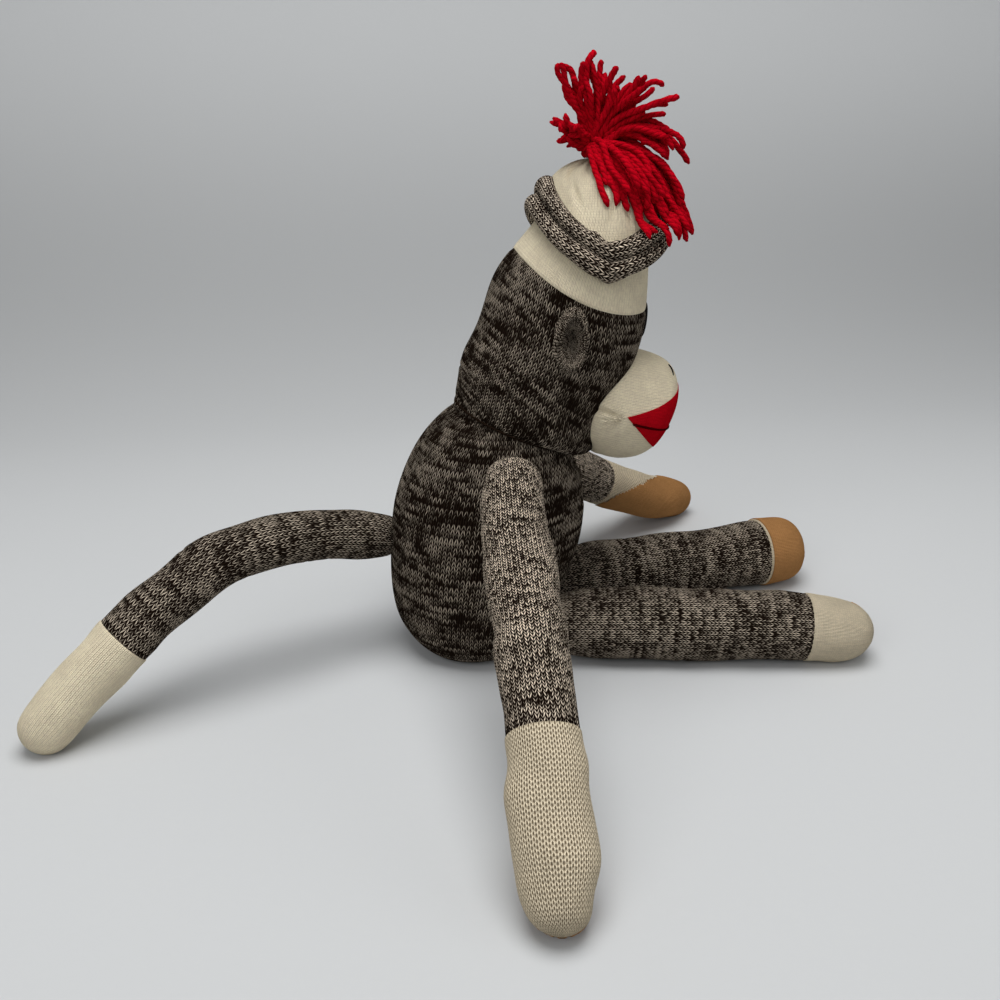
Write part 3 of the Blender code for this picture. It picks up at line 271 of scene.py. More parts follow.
class Recipe:
    """A cloth or yarn material, put together node by node."""

    def __init__(self, name, roughness):
        self.material = bpy.data.materials.new(name)
        self.material.use_nodes = True
        self.tree = self.material.node_tree
        self.shader = self.tree.nodes["Principled BSDF"]
        self.shader.inputs["Roughness"].default_value = roughness
        self.shader.inputs["Specular IOR Level"].default_value = 0.0

    def put(self, socket, value):
        if isinstance(value, bpy.types.NodeSocket):
            self.tree.links.new(value, socket)
        else:
            socket.default_value = value

    def node(self, kind, *values, **settings):
        """New node with these settings, whose first sockets take the values."""
        node = self.tree.nodes.new(f"ShaderNode{kind}")
        for name, setting in settings.items():
            setattr(node, name, setting)
        for socket, value in zip(node.inputs, values):
            self.put(socket, value)
        return node

    def math(self, operation, *values):
        return self.node("Math", *values, operation=operation).outputs[0]

    def plus(self, first, second):
        return self.math("ADD", first, second)

    def minus(self, first, second):
        return self.math("SUBTRACT", first, second)

    def times(self, first, second):
        return self.math("MULTIPLY", first, second)

    def without_sign(self, value):
        return self.math("ABSOLUTE", value)

    def between(self, value, low, high, start=0.0, end=1.0):
        """Smooth step from start to end as value goes from low to high."""
        return self.node("MapRange", value, low, high, start, end, interpolation_type="SMOOTHSTEP").outputs[0]

    def vector(self, *parts):
        return self.node("CombineXYZ", *parts).outputs[0]

    def parts(self, vector):
        return self.node("SeparateXYZ", vector).outputs

    def chance(self, vector):
        return self.node("TexWhiteNoise", vector, noise_dimensions="3D").outputs["Value"]

    def noise(self, vector, scale, detail=2.0, rough=0.5):
        node = self.node("TexNoise", vector)
        for name, value in (("Scale", scale), ("Detail", detail), ("Roughness", rough)):
            node.inputs[name].default_value = value
        return node.outputs["Fac"]

    def fibres(self, column, columns, course, courses, detail=2.0, rough=0.5, layer=0.0):
        """Noise drawn out along the knit or the yarn, so many to a column and to a course."""
        place = self.vector(self.times(column, columns), self.times(course, courses), layer)
        return self.noise(place, 1.0, detail, rough)

    def mix(self, share, first, second):
        node = self.node("Mix", data_type="RGBA")
        self.put(node.inputs["Factor"], share)
        for name, value in (("A", first), ("B", second)):
            self.put([s for s in node.inputs if s.name == name and s.type == "RGBA"][0], value)
        return [s for s in node.outputs if s.type == "RGBA"][0]

    def stitch_place(self):
        """Columns and courses at a point of the knit."""
        column, course, _ = self.parts(self.node("UVMap", uv_map="knit").outputs[0])
        return column, course

    def places(self):
        return self.node("TexCoord").outputs["Object"]

    def finish(self, colour, height, depth):
        bump = self.node("Bump")
        bump.inputs["Strength"].default_value = 1.0
        bump.inputs["Distance"].default_value = depth
        self.put(bump.inputs["Height"], height)
        self.put(self.shader.inputs["Base Color"], colour)
        self.put(self.shader.inputs["Normal"], bump.outputs[0])
        return self.material


def knit_stitches(recipe, lean):
    """V-shaped stitches: the place in the knit, the number of each leg, the place across and along the leg,
    and the height of the yarn there."""
    column, course = recipe.stitch_place()
    place = recipe.minus(recipe.math("FRACT", column), 0.5)
    aside = recipe.without_sign(place)
    rise = recipe.minus(course, recipe.times(aside, lean))
    row = recipe.math("FLOOR", rise)
    along = recipe.minus(recipe.math("FRACT", rise), 0.5)
    across = recipe.minus(recipe.times(aside, 4.0), 1.0)
    ridge = recipe.math("SQRT", recipe.math("MAXIMUM", recipe.minus(1.0, recipe.times(across, across)), 0.0))
    swell = recipe.minus(1.0, recipe.times(recipe.times(along, along), 2.2))
    leg = recipe.vector(recipe.math("FLOOR", column), row, recipe.math("SIGN", place))
    return SimpleNamespace(column=column, course=course, row=row, across=across, along=along, leg=leg,
                           height=recipe.times(ridge, swell))


def marl_knit(name, sizes, colours, paleness, runs, light, lean, specks, gaps, twist=1.3):
    """Knit of a pale and a dark ply run together: each leg of a stitch shows both, and the pale ply comes and
    goes along a course. runs, specks and twist say how far it varies along a course, from leg to leg and
    along a leg, and gaps is how high the dark between the stitches reaches: half the dark ply there, partly
    the dark ply itself and partly painted shade. light is painted light on the pale ply: a higher light
    paints it brighter, as on parts lit from above, and a lower light darker, as on parts in shade."""
    recipe = Recipe(name, 0.95)
    plus, minus, times = recipe.plus, recipe.minus, recipe.times
    knit = knit_stitches(recipe, lean)
    ply = plus(knit.along, times(knit.across, 0.12))
    speck = minus(recipe.chance(knit.leg), 0.5)
    run = minus(recipe.fibres(knit.column, 0.16, knit.row, 7.31, 1.0), 0.5)
    patch = minus(recipe.fibres(knit.column, 0.09, knit.course, 0.16, layer=3.0), 0.5)
    total = plus(times(speck, specks), times(run, runs))
    total = plus(plus(total, times(patch, 0.8)), times(ply, twist))
    pale = recipe.between(plus(total, paleness - 0.5), -0.08, 0.10)
    fibre = recipe.fibres(knit.column, 7.0, knit.course, 2.6)
    # Painted light: the pale ply is scaled by light, brighter for parts lit from above, darker for parts in
    # shade
    painted_brightness = min(1.35 * light, 0.96 / max(colours.marl_pale))
    pale_colour = recipe.mix(fibre, rgba(colours.marl_pale, min(0.70 * light, painted_brightness)),
                             rgba(colours.marl_pale, painted_brightness))
    dark_colour = recipe.mix(fibre, rgba(colours.marl_dark, 0.6), rgba(colours.marl_dark, 2.0))
    colour = recipe.mix(pale, dark_colour, pale_colour)
    # Painted shade between the stitches: low yarn goes to half the dark ply, partly the dark ply and partly
    # painted shade
    colour = recipe.mix(recipe.between(knit.height, *gaps), rgba(colours.marl_dark, 0.5), colour)
    lifted = plus(plus(knit.height, times(fibre, 0.25)), times(pale, 0.25))
    return recipe.finish(colour, lifted, sizes.knit_depth)


def plain_knit(name, sizes, base, gap_shade_colour, holes, fuzz, depth, lean=1.6, rib=0.3, side_holes=0.0):
    """Knit of one colour: a hole in the middle of each stitch, a rib line between columns, loose fibres. The
    holes and rib lines are sunk in the bump and painted in the gap colour as painted shade.
    """
    recipe = Recipe(name, 0.9)
    plus, times, between = recipe.plus, recipe.times, recipe.between
    knit = knit_stitches(recipe, lean)
    fibre = recipe.fibres(knit.column, 5.0, knit.course, 2.2, 3.0)
    soft = recipe.fibres(knit.column, 0.15, knit.course, 0.12, layer=7.0)
    tone = plus(times(soft, 0.6), times(recipe.chance(knit.leg), 0.25))
    tone = plus(tone, times(fibre, fuzz * 0.5))
    colour = recipe.mix(between(tone, 0.15, 0.95), rgba(base, 0.80), rgba(base, 1.10))
    middle = between(knit.across, -1.0, 0.0, 1.0, 0.0)
    hole = times(middle, between(recipe.without_sign(knit.along), 0.12, 0.46, 1.0, 0.0))
    half_way = recipe.without_sign(recipe.minus(recipe.math("FRACT", knit.course), 0.5))
    side_hole = times(between(knit.across, 0.0, 1.0), between(half_way, 0.04, 0.38))
    hole = recipe.math("MAXIMUM", hole, times(side_hole, side_holes))
    line = times(between(knit.across, 0.45, 1.0), rib)
    shade = recipe.math("MAXIMUM", times(hole, holes), line)
    lifted = recipe.minus(plus(knit.height, times(fibre, fuzz)), shade)
    # Painted shade: the holes and rib lines take the gap colour, besides sinking in the bump
    return recipe.finish(recipe.mix(shade, colour, rgba(gap_shade_colour)), lifted, sizes.knit_depth * depth)


def yarn(name, sizes, base):
    """Spun yarn: loose fibres run along the ply, with painted shade in the grooves between plies."""
    recipe = Recipe(name, 0.9)
    plus, times = recipe.plus, recipe.times
    round_it, along_it = recipe.stitch_place()
    twisted = plus(times(round_it, 3.0), along_it)
    ply = recipe.without_sign(recipe.math("SINE", times(twisted, math.pi)))
    fibre = recipe.fibres(round_it, 24.0, along_it, 1.2, 3.0, 0.65)
    blotch = recipe.noise(recipe.vector(0.0, times(along_it, 0.5), 2.0), 1.0, 1.0)
    tone = plus(times(fibre, 0.7), times(blotch, 0.5))
    colour = recipe.mix(recipe.between(tone, 0.25, 0.9), rgba(base, 0.55), rgba(base, 1.25))
    # Painted shade: the grooves between plies go down to 0.45 of the yarn colour
    colour = recipe.mix(recipe.between(ply, 0.0, 0.35), rgba(base, 0.45), colour)
    return recipe.finish(colour, plus(times(ply, 0.6), times(fibre, 0.7)), sizes.knit_depth * 0.7)


def thread_work(name, base, lines=3.0):
    """Close satin stitches or twisted thread, with a painted highlight on each strand and painted shade
    between strands.
    """
    recipe = Recipe(name, 0.7)
    plus, times = recipe.plus, recipe.times
    round_it, along_it = recipe.stitch_place()
    wave = recipe.math("SINE", times(plus(times(round_it, lines), along_it), math.pi))
    strand = recipe.without_sign(wave)
    fibre = recipe.fibres(round_it, 14.0, along_it, 2.0)
    # Painted highlight and shade: raised strands up to three times the thread colour, the grooves down to
    # half
    colour = recipe.mix(times(strand, fibre), rgba(base, 0.5), rgba(base, 3.0))
    return recipe.finish(colour, plus(strand, times(fibre, 0.3)), 0.0003)


def backdrop_paper(base):
    """Smooth paper: even on the floor, with painted shade where the wall starts and painted light up the wall
    and to its right.
    """
    recipe = Recipe("backdrop_paper", 0.8)
    grain = recipe.noise(recipe.places(), 220.0)
    right, far, high = recipe.parts(recipe.places())
    # Painted light and shade: the wall is painted darker at its foot and paler higher up and to the right
    painted_light_upper = recipe.mix(recipe.between(right, 0.0, 1.2), rgba(base, 1.12), rgba(base, 1.26))
    wall = recipe.mix(recipe.between(high, 0.03, 0.5), rgba(base, 0.74), painted_light_upper)
    colour = recipe.mix(recipe.between(far, 0.10, 1.0), rgba(base), wall)
    colour = recipe.mix(recipe.times(grain, 0.03), colour, rgba((0.3, 0.3, 0.3)))
    return recipe.finish(colour, grain, 0.00005)


def smooth(value):
    value = np.clip(value, 0, 1)
    return value * value * (3 - 2 * value)


def dent(value, width, power=2):
    """Bell shape: 1 where the value is 0, and about a third where it is the width."""
    return np.exp(-(value / width) ** power)


def turns_of(sides):
    """Angle of each side of a ring."""
    return np.arange(sides) * TAU / sides


def spread(start, end, count, sides):
    """Lengths of a grid of rings, from start to end at each side."""
    level = np.ones(sides)
    return np.linspace(start * level, end * level, count)


def unit(vector):
    return vector / np.linalg.norm(vector)


def level_way(turn):
    return np.array((math.cos(turn), math.sin(turn), 0.0))


class Form:
    """Smooth stuffed form through oval sections, measured along its skin."""

    def __init__(self, rows):
        self.rows = np.array(rows, float)
        self.last = len(rows) - 3
        self.steps = np.linspace(0, self.last, 600)
        places = self.at(turns_of(8)[None, :], self.steps[:, None])
        moves = np.linalg.norm(np.diff(places, axis=0), axis=2).mean(axis=1)
        self.lengths = np.concatenate(((0.0,), np.cumsum(moves)))
        self.length = self.lengths[-1]

    def section(self, step):
        """Middle and half widths, smoothed over the sections as a cubic B-spline."""
        step = np.clip(step, 0, self.last)
        i = np.minimum(np.floor(step).astype(int), self.last - 1)
        f = (step - i)[..., None, None]
        weights = ((1 - f) ** 3, 3 * f ** 3 - 6 * f ** 2 + 4, -3 * f ** 3 + 3 * f ** 2 + 3 * f + 1, f ** 3)
        return sum(weight * self.rows[i + k] for k, weight in enumerate(weights)) / 6

    def at(self, turn, step):
        turn, step = np.broadcast_arrays(turn, step)
        middle, across, rise = np.moveaxis(self.section(step), -2, 0)
        return middle + across * np.cos(turn)[..., None] + rise * np.sin(turn)[..., None]

    def on(self, turn, length):
        return self.at(turn, np.interp(length, self.lengths, self.steps))

    def crossing(self, turns, height, start=0.0):
        """Length along the skin at each turn where height(places) first rises through zero."""
        lengths = np.linspace(start, self.length, 900)
        values = height(self.on(turns[None, :], lengths[:, None]))
        after = np.maximum((values > 0).argmax(axis=0), 1)
        columns = np.arange(len(turns))
        low, high = values[after - 1, columns], values[after, columns]
        return lengths[after - 1] + (lengths[after] - lengths[after - 1]) * low / (low - high)


def row(centre, across, rise):
    return np.array((centre, across, rise), float)


def closed_rows(stations, first, last):
    """Stations between two poles, with a mirrored station past each pole, so that the ends come out round."""
    zero = np.zeros(3)
    before, after = stations[0], stations[-1]
    return [row(before[0], -before[1], -before[2]), row(first, zero, zero), *stations, row(last, zero, zero),
            row(after[0], -after[1], -after[2])]


def upright(shares, origin, tall, deep, wide, grow=0.0):
    """Level ovals, one to each row of shares: height, middle, depth and width."""
    rows = []
    for height, centre, depth, width in shares:
        place = origin + AHEAD * centre * deep + UP * height * tall
        rows.append(row(place, AHEAD * (depth * deep / 2 + grow), LEFT * (width * wide / 2 + grow)))
    return rows


def limb_form(points, halves, root_depth, tip_depth):
    """Round-ended limb along its middle line."""
    stations, frames = [], []
    for i, (point, (wide, tall)) in enumerate(zip(points, halves)):
        tangent = unit(points[min(i + 1, len(points) - 1)] - points[max(i - 1, 0)])
        across = unit(np.cross(tangent, UP))
        frames.append((tangent, across, np.cross(across, tangent)))
        stations.append(row(point, across * wide, frames[-1][2] * tall))

    def dome(point, outward, half, depth, frame):
        rings = []
        for angle in DOME_ANGLES:
            share = DOME_SHARE * math.cos(math.radians(angle))
            place = point + outward * (depth * DOME_SHARE * math.sin(math.radians(angle)))
            rings.append(row(place, frame[1] * half[0] * share, frame[2] * half[1] * share))
        return rings, point + outward * (depth * DOME_POLE_SHARE)

    root, root_pole = dome(points[0], -frames[0][0], halves[0], root_depth, frames[0])
    tip, tip_pole = dome(points[-1], frames[-1][0], halves[-1], tip_depth, frames[-1])
    return Form(closed_rows(root[::-1] + stations + tip, root_pole, tip_pole))


def normals_of(places):
    """Outward normals of a grid of rings."""
    round_it = np.roll(places, -1, axis=1) - np.roll(places, 1, axis=1)
    normal = np.cross(round_it, np.gradient(places, axis=0))
    size = np.linalg.norm(normal, axis=2, keepdims=True)
    outward = places - places.mean(axis=1, keepdims=True)
    return normal / np.maximum(size, 1e-12) * np.sign(np.sum(normal * outward))


def pushed(places, push):
    """Grid of rings moved outwards."""
    return places + normals_of(places) * push[..., None]


def lumps(places, seed, size, height):
    """Soft unevenness of hand stuffing."""
    chance = np.random.default_rng(seed)
    total = np.zeros(places.shape[:-1])
    for _ in range(9):
        way = chance.normal(size=3)
        way *= TAU / (size * chance.uniform(0.7, 1.6)) / np.linalg.norm(way)
        total += np.sin(places @ way + chance.uniform(0, TAU))
    return total * height / 3


def folds(turns, lengths, radius, rows):
    """Pressed folds: turn in degrees, length, slant in degrees, half length, width and depth of each."""
    total = np.zeros(np.broadcast(turns, lengths).shape)
    for turn, length, slant, half, width, depth in rows:
        aside = (np.mod(turns - math.radians(turn) + math.pi, TAU) - math.pi) * radius
        ahead = lengths - length
        c, s = math.cos(math.radians(slant)), math.sin(math.radians(slant))
        along, across = aside * c + ahead * s, ahead * c - aside * s
        groove = dent(across, width) * 1.25 - dent(across, 2.4 * width) * 0.55
        total -= smooth(1 - np.abs(along) / half) * groove * depth
    return total


def tucked(places, stitches, start, end, depth=0.0012):
    """Turns the open ends of a skin inwards, so that a seam is a soft crease and the mesh can be closed."""
    rings, rows = list(places), list(stitches)
    for wanted, where in ((start, 0), (end, -1)):
        if not wanted:
            continue
        edge, inner = rings[where], rings[1 if where == 0 else -2]
        outward = edge - inner
        outward /= np.maximum(np.linalg.norm(outward, axis=1, keepdims=True), 1e-9)
        inward = edge.mean(axis=0) - edge
        inward /= np.linalg.norm(inward, axis=1, keepdims=True)
        for out, inside in ((0.45, 0.35), (0.55, 1.1), (0.0, 3.0)):
            at = 0 if where == 0 else len(rings)
            rings.insert(at, edge + outward * depth * out + inward * depth * inside)
            rows.insert(at, rows[where])
    return np.array(rings), np.array(rows)


def add_mesh(name, verts, faces, stitches, material):
    """Mesh piece with its stitch counts in the map named knit."""
    mesh = bpy.data.meshes.new(name)
    mesh.from_pydata([tuple(v) for v in verts], [], faces)
    layer = mesh.uv_layers.new(name="knit")
    layer.data.foreach_set("uv", np.array(stitches, np.float32).ravel())
    mesh.validate()
    mesh.shade_smooth()
    mesh.materials.append(bpy.data.materials[material])
    piece = bpy.data.objects.new(name, mesh)
    bpy.context.scene.collection.objects.link(piece)
    return piece


def upright_faces(piece):
    """Turns the faces outwards."""
    bm = bmesh.new()
    bm.from_mesh(piece.data)
    bmesh.ops.recalc_face_normals(bm, faces=bm.faces)
    bm.to_mesh(piece.data)
    bm.free()
    return piece


def wall_faces(count, sides, base=0):
    """Faces between each ring and the next."""
    faces = []
    for ring in range(count - 1):
        for side in range(sides):
            start, end = base + ring * sides, base + (ring + 1) * sides
            after = (side + 1) % sides
            faces.append((start + side, start + after, end + after, end + side))
    return faces


def shell(places, columns, courses, shift=0.0, base=0):
    """Points, faces and stitch counts of a closed skin of rings. columns is the count round it, courses has
    one row for each ring, and base is the number of the first point."""
    count, sides = places.shape[:2]
    verts = places.reshape(-1, 3).tolist()
    courses = np.broadcast_to(np.array(courses, float).reshape(count, -1), (count, sides))

    def corner(ring, side):
        return (side * columns / sides + shift, courses[ring, side % sides])

    faces, stitches = wall_faces(count, sides, base), []
    for ring in range(count - 1):
        for side in range(sides):
            stitches += [corner(ring, side), corner(ring, side + 1), corner(ring + 1, side + 1),
                         corner(ring + 1, side)]
    for ring, past in ((0, -0.5), (count - 1, 0.5)):
        tip = base + len(verts)
        verts.append(tuple(places[ring].mean(axis=0)))
        for side in range(sides):
            ends = [side, side + 1] if ring else [side + 1, side]
            faces.append((*(base + ring * sides + end % sides for end in ends), tip))
            middle = ((side + 0.5) * columns / sides + shift, courses[ring].mean() + past)
            stitches += [*(corner(ring, end) for end in ends), middle]
    return verts, faces, stitches


def ring_mesh(name, places, columns, courses, material, shift=0.0):
    return upright_faces(add_mesh(name, *shell(places, columns, courses, shift), material))


def turn_in_rim(bm, middle):
    """Gives the open rim of a patch an edge that turns in towards the middle."""
    rim = [edge for edge in bm.edges if edge.is_boundary]
    for part in bmesh.ops.extrude_edge_only(bm, edges=rim)["geom"]:
        if isinstance(part, bmesh.types.BMVert):
            part.co += (middle - part.co).normalized() * PATCH_EDGE


def twisted_cord(points, half, sides, ply, turn_every, phase=0.0, ends=True):
    """Rings of a twisted cord along points, with how far along it each ring lies."""
    points = np.array(points)
    tangents = np.gradient(points, axis=0)
    tangents /= np.linalg.norm(tangents, axis=1, keepdims=True)
    side = np.cross(tangents[0], (0.3, 0.8, 0.5))
    lengths = np.concatenate(((0.0,), np.cumsum(np.linalg.norm(np.diff(points, axis=0), axis=1))))
    turns = turns_of(sides)
    rings = []
    for point, tangent, length in zip(points, tangents, lengths):
        side = unit(side - tangent * np.dot(side, tangent))
        other = np.cross(tangent, side)
        radius = half * (1 + 0.13 * np.cos(ply * turns + TAU * ply * length / turn_every + phase))
        if ends:
            left = min(length, lengths[-1] - length) / half
            radius = radius * math.sqrt(max(0.12, 1 - max(0.0, 1 - left) ** 2))
        rings.append(point + side * (radius * np.cos(turns))[:, None]
                     + other * (radius * np.sin(turns))[:, None])
    return np.array(rings), lengths


def bezier(start, first, second, end, count):
    t = np.linspace(0, 1, count)[:, None]
    return start * (1 - t) ** 3 + first * 3 * t * (1 - t) ** 2 + second * 3 * t * t * (1 - t) + end * t ** 3


def knit_counts(column, radius):
    """Whole, even number of columns of this width round a piece of this radius."""
    return max(8, 2 * round(math.pi * radius / column))


def over_neck(places):
    return (places - NECK) @ NECK_AXIS


def over_band(places):
    """How far a place lies over the change from marl to cream on the head."""
    aside = places[..., 1] / (HEAD_WIDE / 2)
    ahead = places[..., 0] - NECK[0] - HEAD_CORE
    return places[..., 2] - (NECK[2] + BAND_HEIGHT - BAND_SLOPE * ahead - BAND_DIP * aside * aside)


def brim_rise(turn):
    dip = 1 - np.abs(np.cos(turn)) ** BRIM_POINT
    return BRIM_HEIGHT - BRIM_LEAN * np.cos(turn) - BRIM_DIP * dip


def over_brim(places):
    turn = np.arctan2(places[..., 1] / HEAD_WIDE, (places[..., 0] - NECK[0] - BRIM_CORE) / HEAD_DEEP)
    return places[..., 2] - NECK[2] - brim_rise(turn)


def head_form(sizes):
    ring = row(NECK + NECK_AXIS * 0.0012, NECK_AHEAD * sizes.neck_ring, LEFT * sizes.neck_ring)
    rows = [ring, ring, ring]
    for front_x, front_z, back_x, back_z, half in HEAD_FOLD_ROWS:
        front, back = np.array((front_x, 0, front_z)), np.array((back_x, 0, back_z))
        rows.append(row((front + back) / 2, (front - back) / 2, LEFT * half))
    level = upright(HEAD_SHARES, NECK, HEAD_TALL, HEAD_DEEP, HEAD_WIDE)
    top = NECK + AHEAD * HEAD_END_SHARES[1] * HEAD_DEEP + UP * HEAD_END_SHARES[0] * HEAD_TALL
    zero = np.zeros(3)
    rows += level + [row(top, zero, zero), row(level[-1][0], -level[-1][1], -level[-1][2])]
    return Form(rows)


def crown_form(grow=0.0):
    level = upright(CROWN_SHARES, NECK, HEAD_TALL, HEAD_DEEP, HEAD_WIDE, CAP_WALL + grow)
    high, ahead = CROWN_END_SHARES
    top = NECK + AHEAD * ahead * HEAD_DEEP + UP * (high * HEAD_TALL + grow)
    return Form(closed_rows(level, level[0][0] - UP * CAP_WALL, top))


def muzzle_form():
    axis = np.array((math.cos(MUZZLE_LEAN), 0.0, -math.sin(MUZZLE_LEAN)))
    rise = np.array((math.sin(MUZZLE_LEAN), 0.0, math.cos(MUZZLE_LEAN)))

    def centre(place, lift):
        return MUZZLE_BASE + axis * place * MUZZLE_LONG + rise * lift * MUZZLE_TALL

    rows = [row(centre(place, lift), -rise * (tall * MUZZLE_TALL), LEFT * (wide * MUZZLE_WIDE))
            for place, lift, wide, tall in MUZZLE_SHARES]
    return Form(closed_rows(rows, *(centre(*end) for end in MUZZLE_END_SHARES)))


def mouth_lift(ahead):
    """How far the edges of the mouth turn up towards the front."""
    share = min(1.0, max(0.0, (ahead - MOUTH_CORNER[0] - 0.012) / 0.028))
    return 0.0045 * share * share


def solid_of(form, sides=96, rings=96):
    """Tree of a form's faces, for finding places on its skin."""
    places = form.on(turns_of(sides)[None, :], np.linspace(0, form.length, rings)[:, None])
    return BVHTree.FromPolygons(places.reshape(-1, 3).tolist(), wall_faces(rings, sides))


def hit(tree, start, way):
    """Place and outward normal where a line leaves a skin."""
    place, normal, _, _ = tree.ray_cast(Vector(start), Vector(way))
    if place is None:
        raise RuntimeError("no skin lies that way")
    normal = np.array(normal)
    return np.array(place), -normal if np.dot(normal, way) < 0 else normal


def settle(node):
    """Hides the solid that a piece stands for."""
    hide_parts(node)


def in_place(piece, body, node):
    """Puts a piece on its body, in the place of its solid."""
    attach(piece, body)
    settle(node)


def thread_piece(name, path, half, turn_every, cloth, body, node, sides=8, ply=2, ends=True):
    """Thread or yarn laid along a path."""
    rings, lengths = twisted_cord(path, half, sides, ply, turn_every, ends=ends)
    in_place(ring_mesh(name, rings, 1, lengths / THREAD_COURSE, cloth), body, node)


class DOLL_OT_cloths(bpy.types.Operator):
    """Mixes the knit, cloth, yarn and thread materials"""

    bl_idname = "doll.cloths"
    bl_label = "Cloths and yarns"

    def execute(self, context):
        sizes, colours = context.scene.doll_sizes, context.scene.doll_colours
        # light is painted light: arms, lit from above, are painted brightest and the body, in shade, darkest
        marl_knit("marl_body", sizes, colours, paleness=0.32, runs=2.2, light=0.63, lean=3.3, specks=0.5,
                  gaps=(0.5, 0.92))
        marl_knit("marl_arm", sizes, colours, paleness=0.45, runs=0.9, light=1.75, lean=2.7, specks=0.9,
                  gaps=(0.46, 0.90), twist=1.6)
        marl_knit("marl_leg", sizes, colours, paleness=0.43, runs=1.5, light=0.82, lean=3.0, specks=0.6,
                  gaps=(0.48, 0.92))
        marl_knit("marl_ear", sizes, colours, paleness=0.40, runs=1.0, light=0.85, lean=2.6, specks=0.9,
                  gaps=(0.4, 0.88), twist=1.8)
        marl_knit("marl_brim", sizes, colours, paleness=0.46, runs=1.0, light=1.0, lean=2.6, specks=0.7,
                  gaps=(0.4, 0.88), twist=1.8)
        pale = tinted(colours.cream, 1.1, 0.95)
        # The feet's cream is the fine cream dimmed to 0.82
        dimmer_cream = tinted(pale, 0.82)
        # The gap colours of the plain knits are painted shade for their holes and rib lines
        plain_knit("cream_fine", sizes, pale, tinted(pale, 0.5), holes=0.2, fuzz=0.4, depth=0.6, rib=0.5)
        plain_knit("cream_foot", sizes, dimmer_cream, tinted(dimmer_cream, 0.45), holes=0.35, fuzz=0.5, depth=0.8, rib=0.5)
        plain_knit("cream_hand", sizes, colours.cream, colours.cream_gap_shade, holes=0.85, fuzz=0.3, depth=1.0,
                   lean=0.6, rib=0.0, side_holes=1.0)
        plain_knit("tan_pad", sizes, colours.tan, colours.tan_gap_shade, holes=0.35, fuzz=0.9, depth=0.7)
        plain_knit("red_mouth", sizes, colours.red_cloth, tinted(colours.red_cloth, 0.35), holes=0.3,
                   fuzz=0.6, depth=0.3)
        yarn("spun_yarn", sizes, colours.red_yarn)
        thread_work("black_stitches", colours.thread)
        thread_work("dark_red_thread", colours.line_thread)
        thread_work("brown_thread", colours.marl_dark)
        return {"FINISHED"}


class DOLL_OT_torso(bpy.types.Operator):
    """Makes the stuffed torso, gathered at the neck, and the thread round it"""

    bl_idname = "doll.torso"
    bl_label = "Torso and neck thread"

    def execute(self, context):
        sizes = context.scene.doll_sizes
        rows = upright(TORSO_SHARES, np.zeros(3), TORSO_TALL, TORSO_DEEP, TORSO_WIDE)
        first = rows[0][0] + UP * (TORSO_END_SHARES[0] - TORSO_SHARES[0][0]) * TORSO_TALL
        last = rows[-1][0] + UP * (TORSO_END_SHARES[1] - TORSO_SHARES[-1][0]) * TORSO_TALL
        form = Form(closed_rows(rows, first, last))
        sides = 240
        turns = turns_of(sides)
        top = form.crossing(turns, over_neck, form.length * 0.3)
        lengths = spread(TORSO_SKIN_START, top, 200, sides)
        left = top - lengths
        places = form.on(turns, lengths)
        push = lumps(places, 3, 0.05, 0.0009) * smooth(left / 0.03)
        push += folds(turns, lengths, TORSO_DEEP / 2, TORSO_FOLDS)
        hollow = dent(places[..., 2] - CHIN_HOLLOW_HEIGHT, 0.010) * dent(places[..., 1], 0.024, 4)
        push -= CHIN_HOLLOW * hollow * smooth((places[..., 0] - 0.02) / 0.02)
        gather = smooth(1 - left / 0.016)
        waves = np.cos(NECK_GATHERS * turns + lumps(places, 8, 0.03, 1.2))
        push += gather * (NECK_GATHER_DEPTH * waves - 0.0003)
        places = pushed(places, push)
        axial = NECK + NECK_AXIS * over_neck(places)[..., None]
        away = places - axial
        radius = np.linalg.norm(away, axis=2, keepdims=True)
        pull = smooth(1 - left / 0.010)[..., None]
        ring = sizes.neck_ring + 0.0004 + (gather * 0.0006 * waves)[..., None]
        places = axial + away / radius * (radius * (1 - pull) + ring * pull)
        places[..., 2] = np.maximum(places[..., 2], 0.0)
        places, courses = tucked(places, lengths / sizes.course, False, True, 0.0014)
        columns = knit_counts(sizes.column, TORSO_ROUND)
        torso = ring_mesh("torso_skin", places, columns, courses, "marl_body")
        in_place(torso, "torso", "torso")

        centre, radius = NECK + NECK_AXIS * 0.0013, sizes.neck_ring + 0.0002
        path = [centre + (NECK_AHEAD * math.cos(a) + LEFT * math.sin(a)) * radius
                for a in np.linspace(0, TAU, 241)]
        thread_piece("neck_thread_twist", path, 0.0007, 0.0045, "brown_thread", "neck",
                     "neck_thread", ends=False)
        return {"FINISHED"}


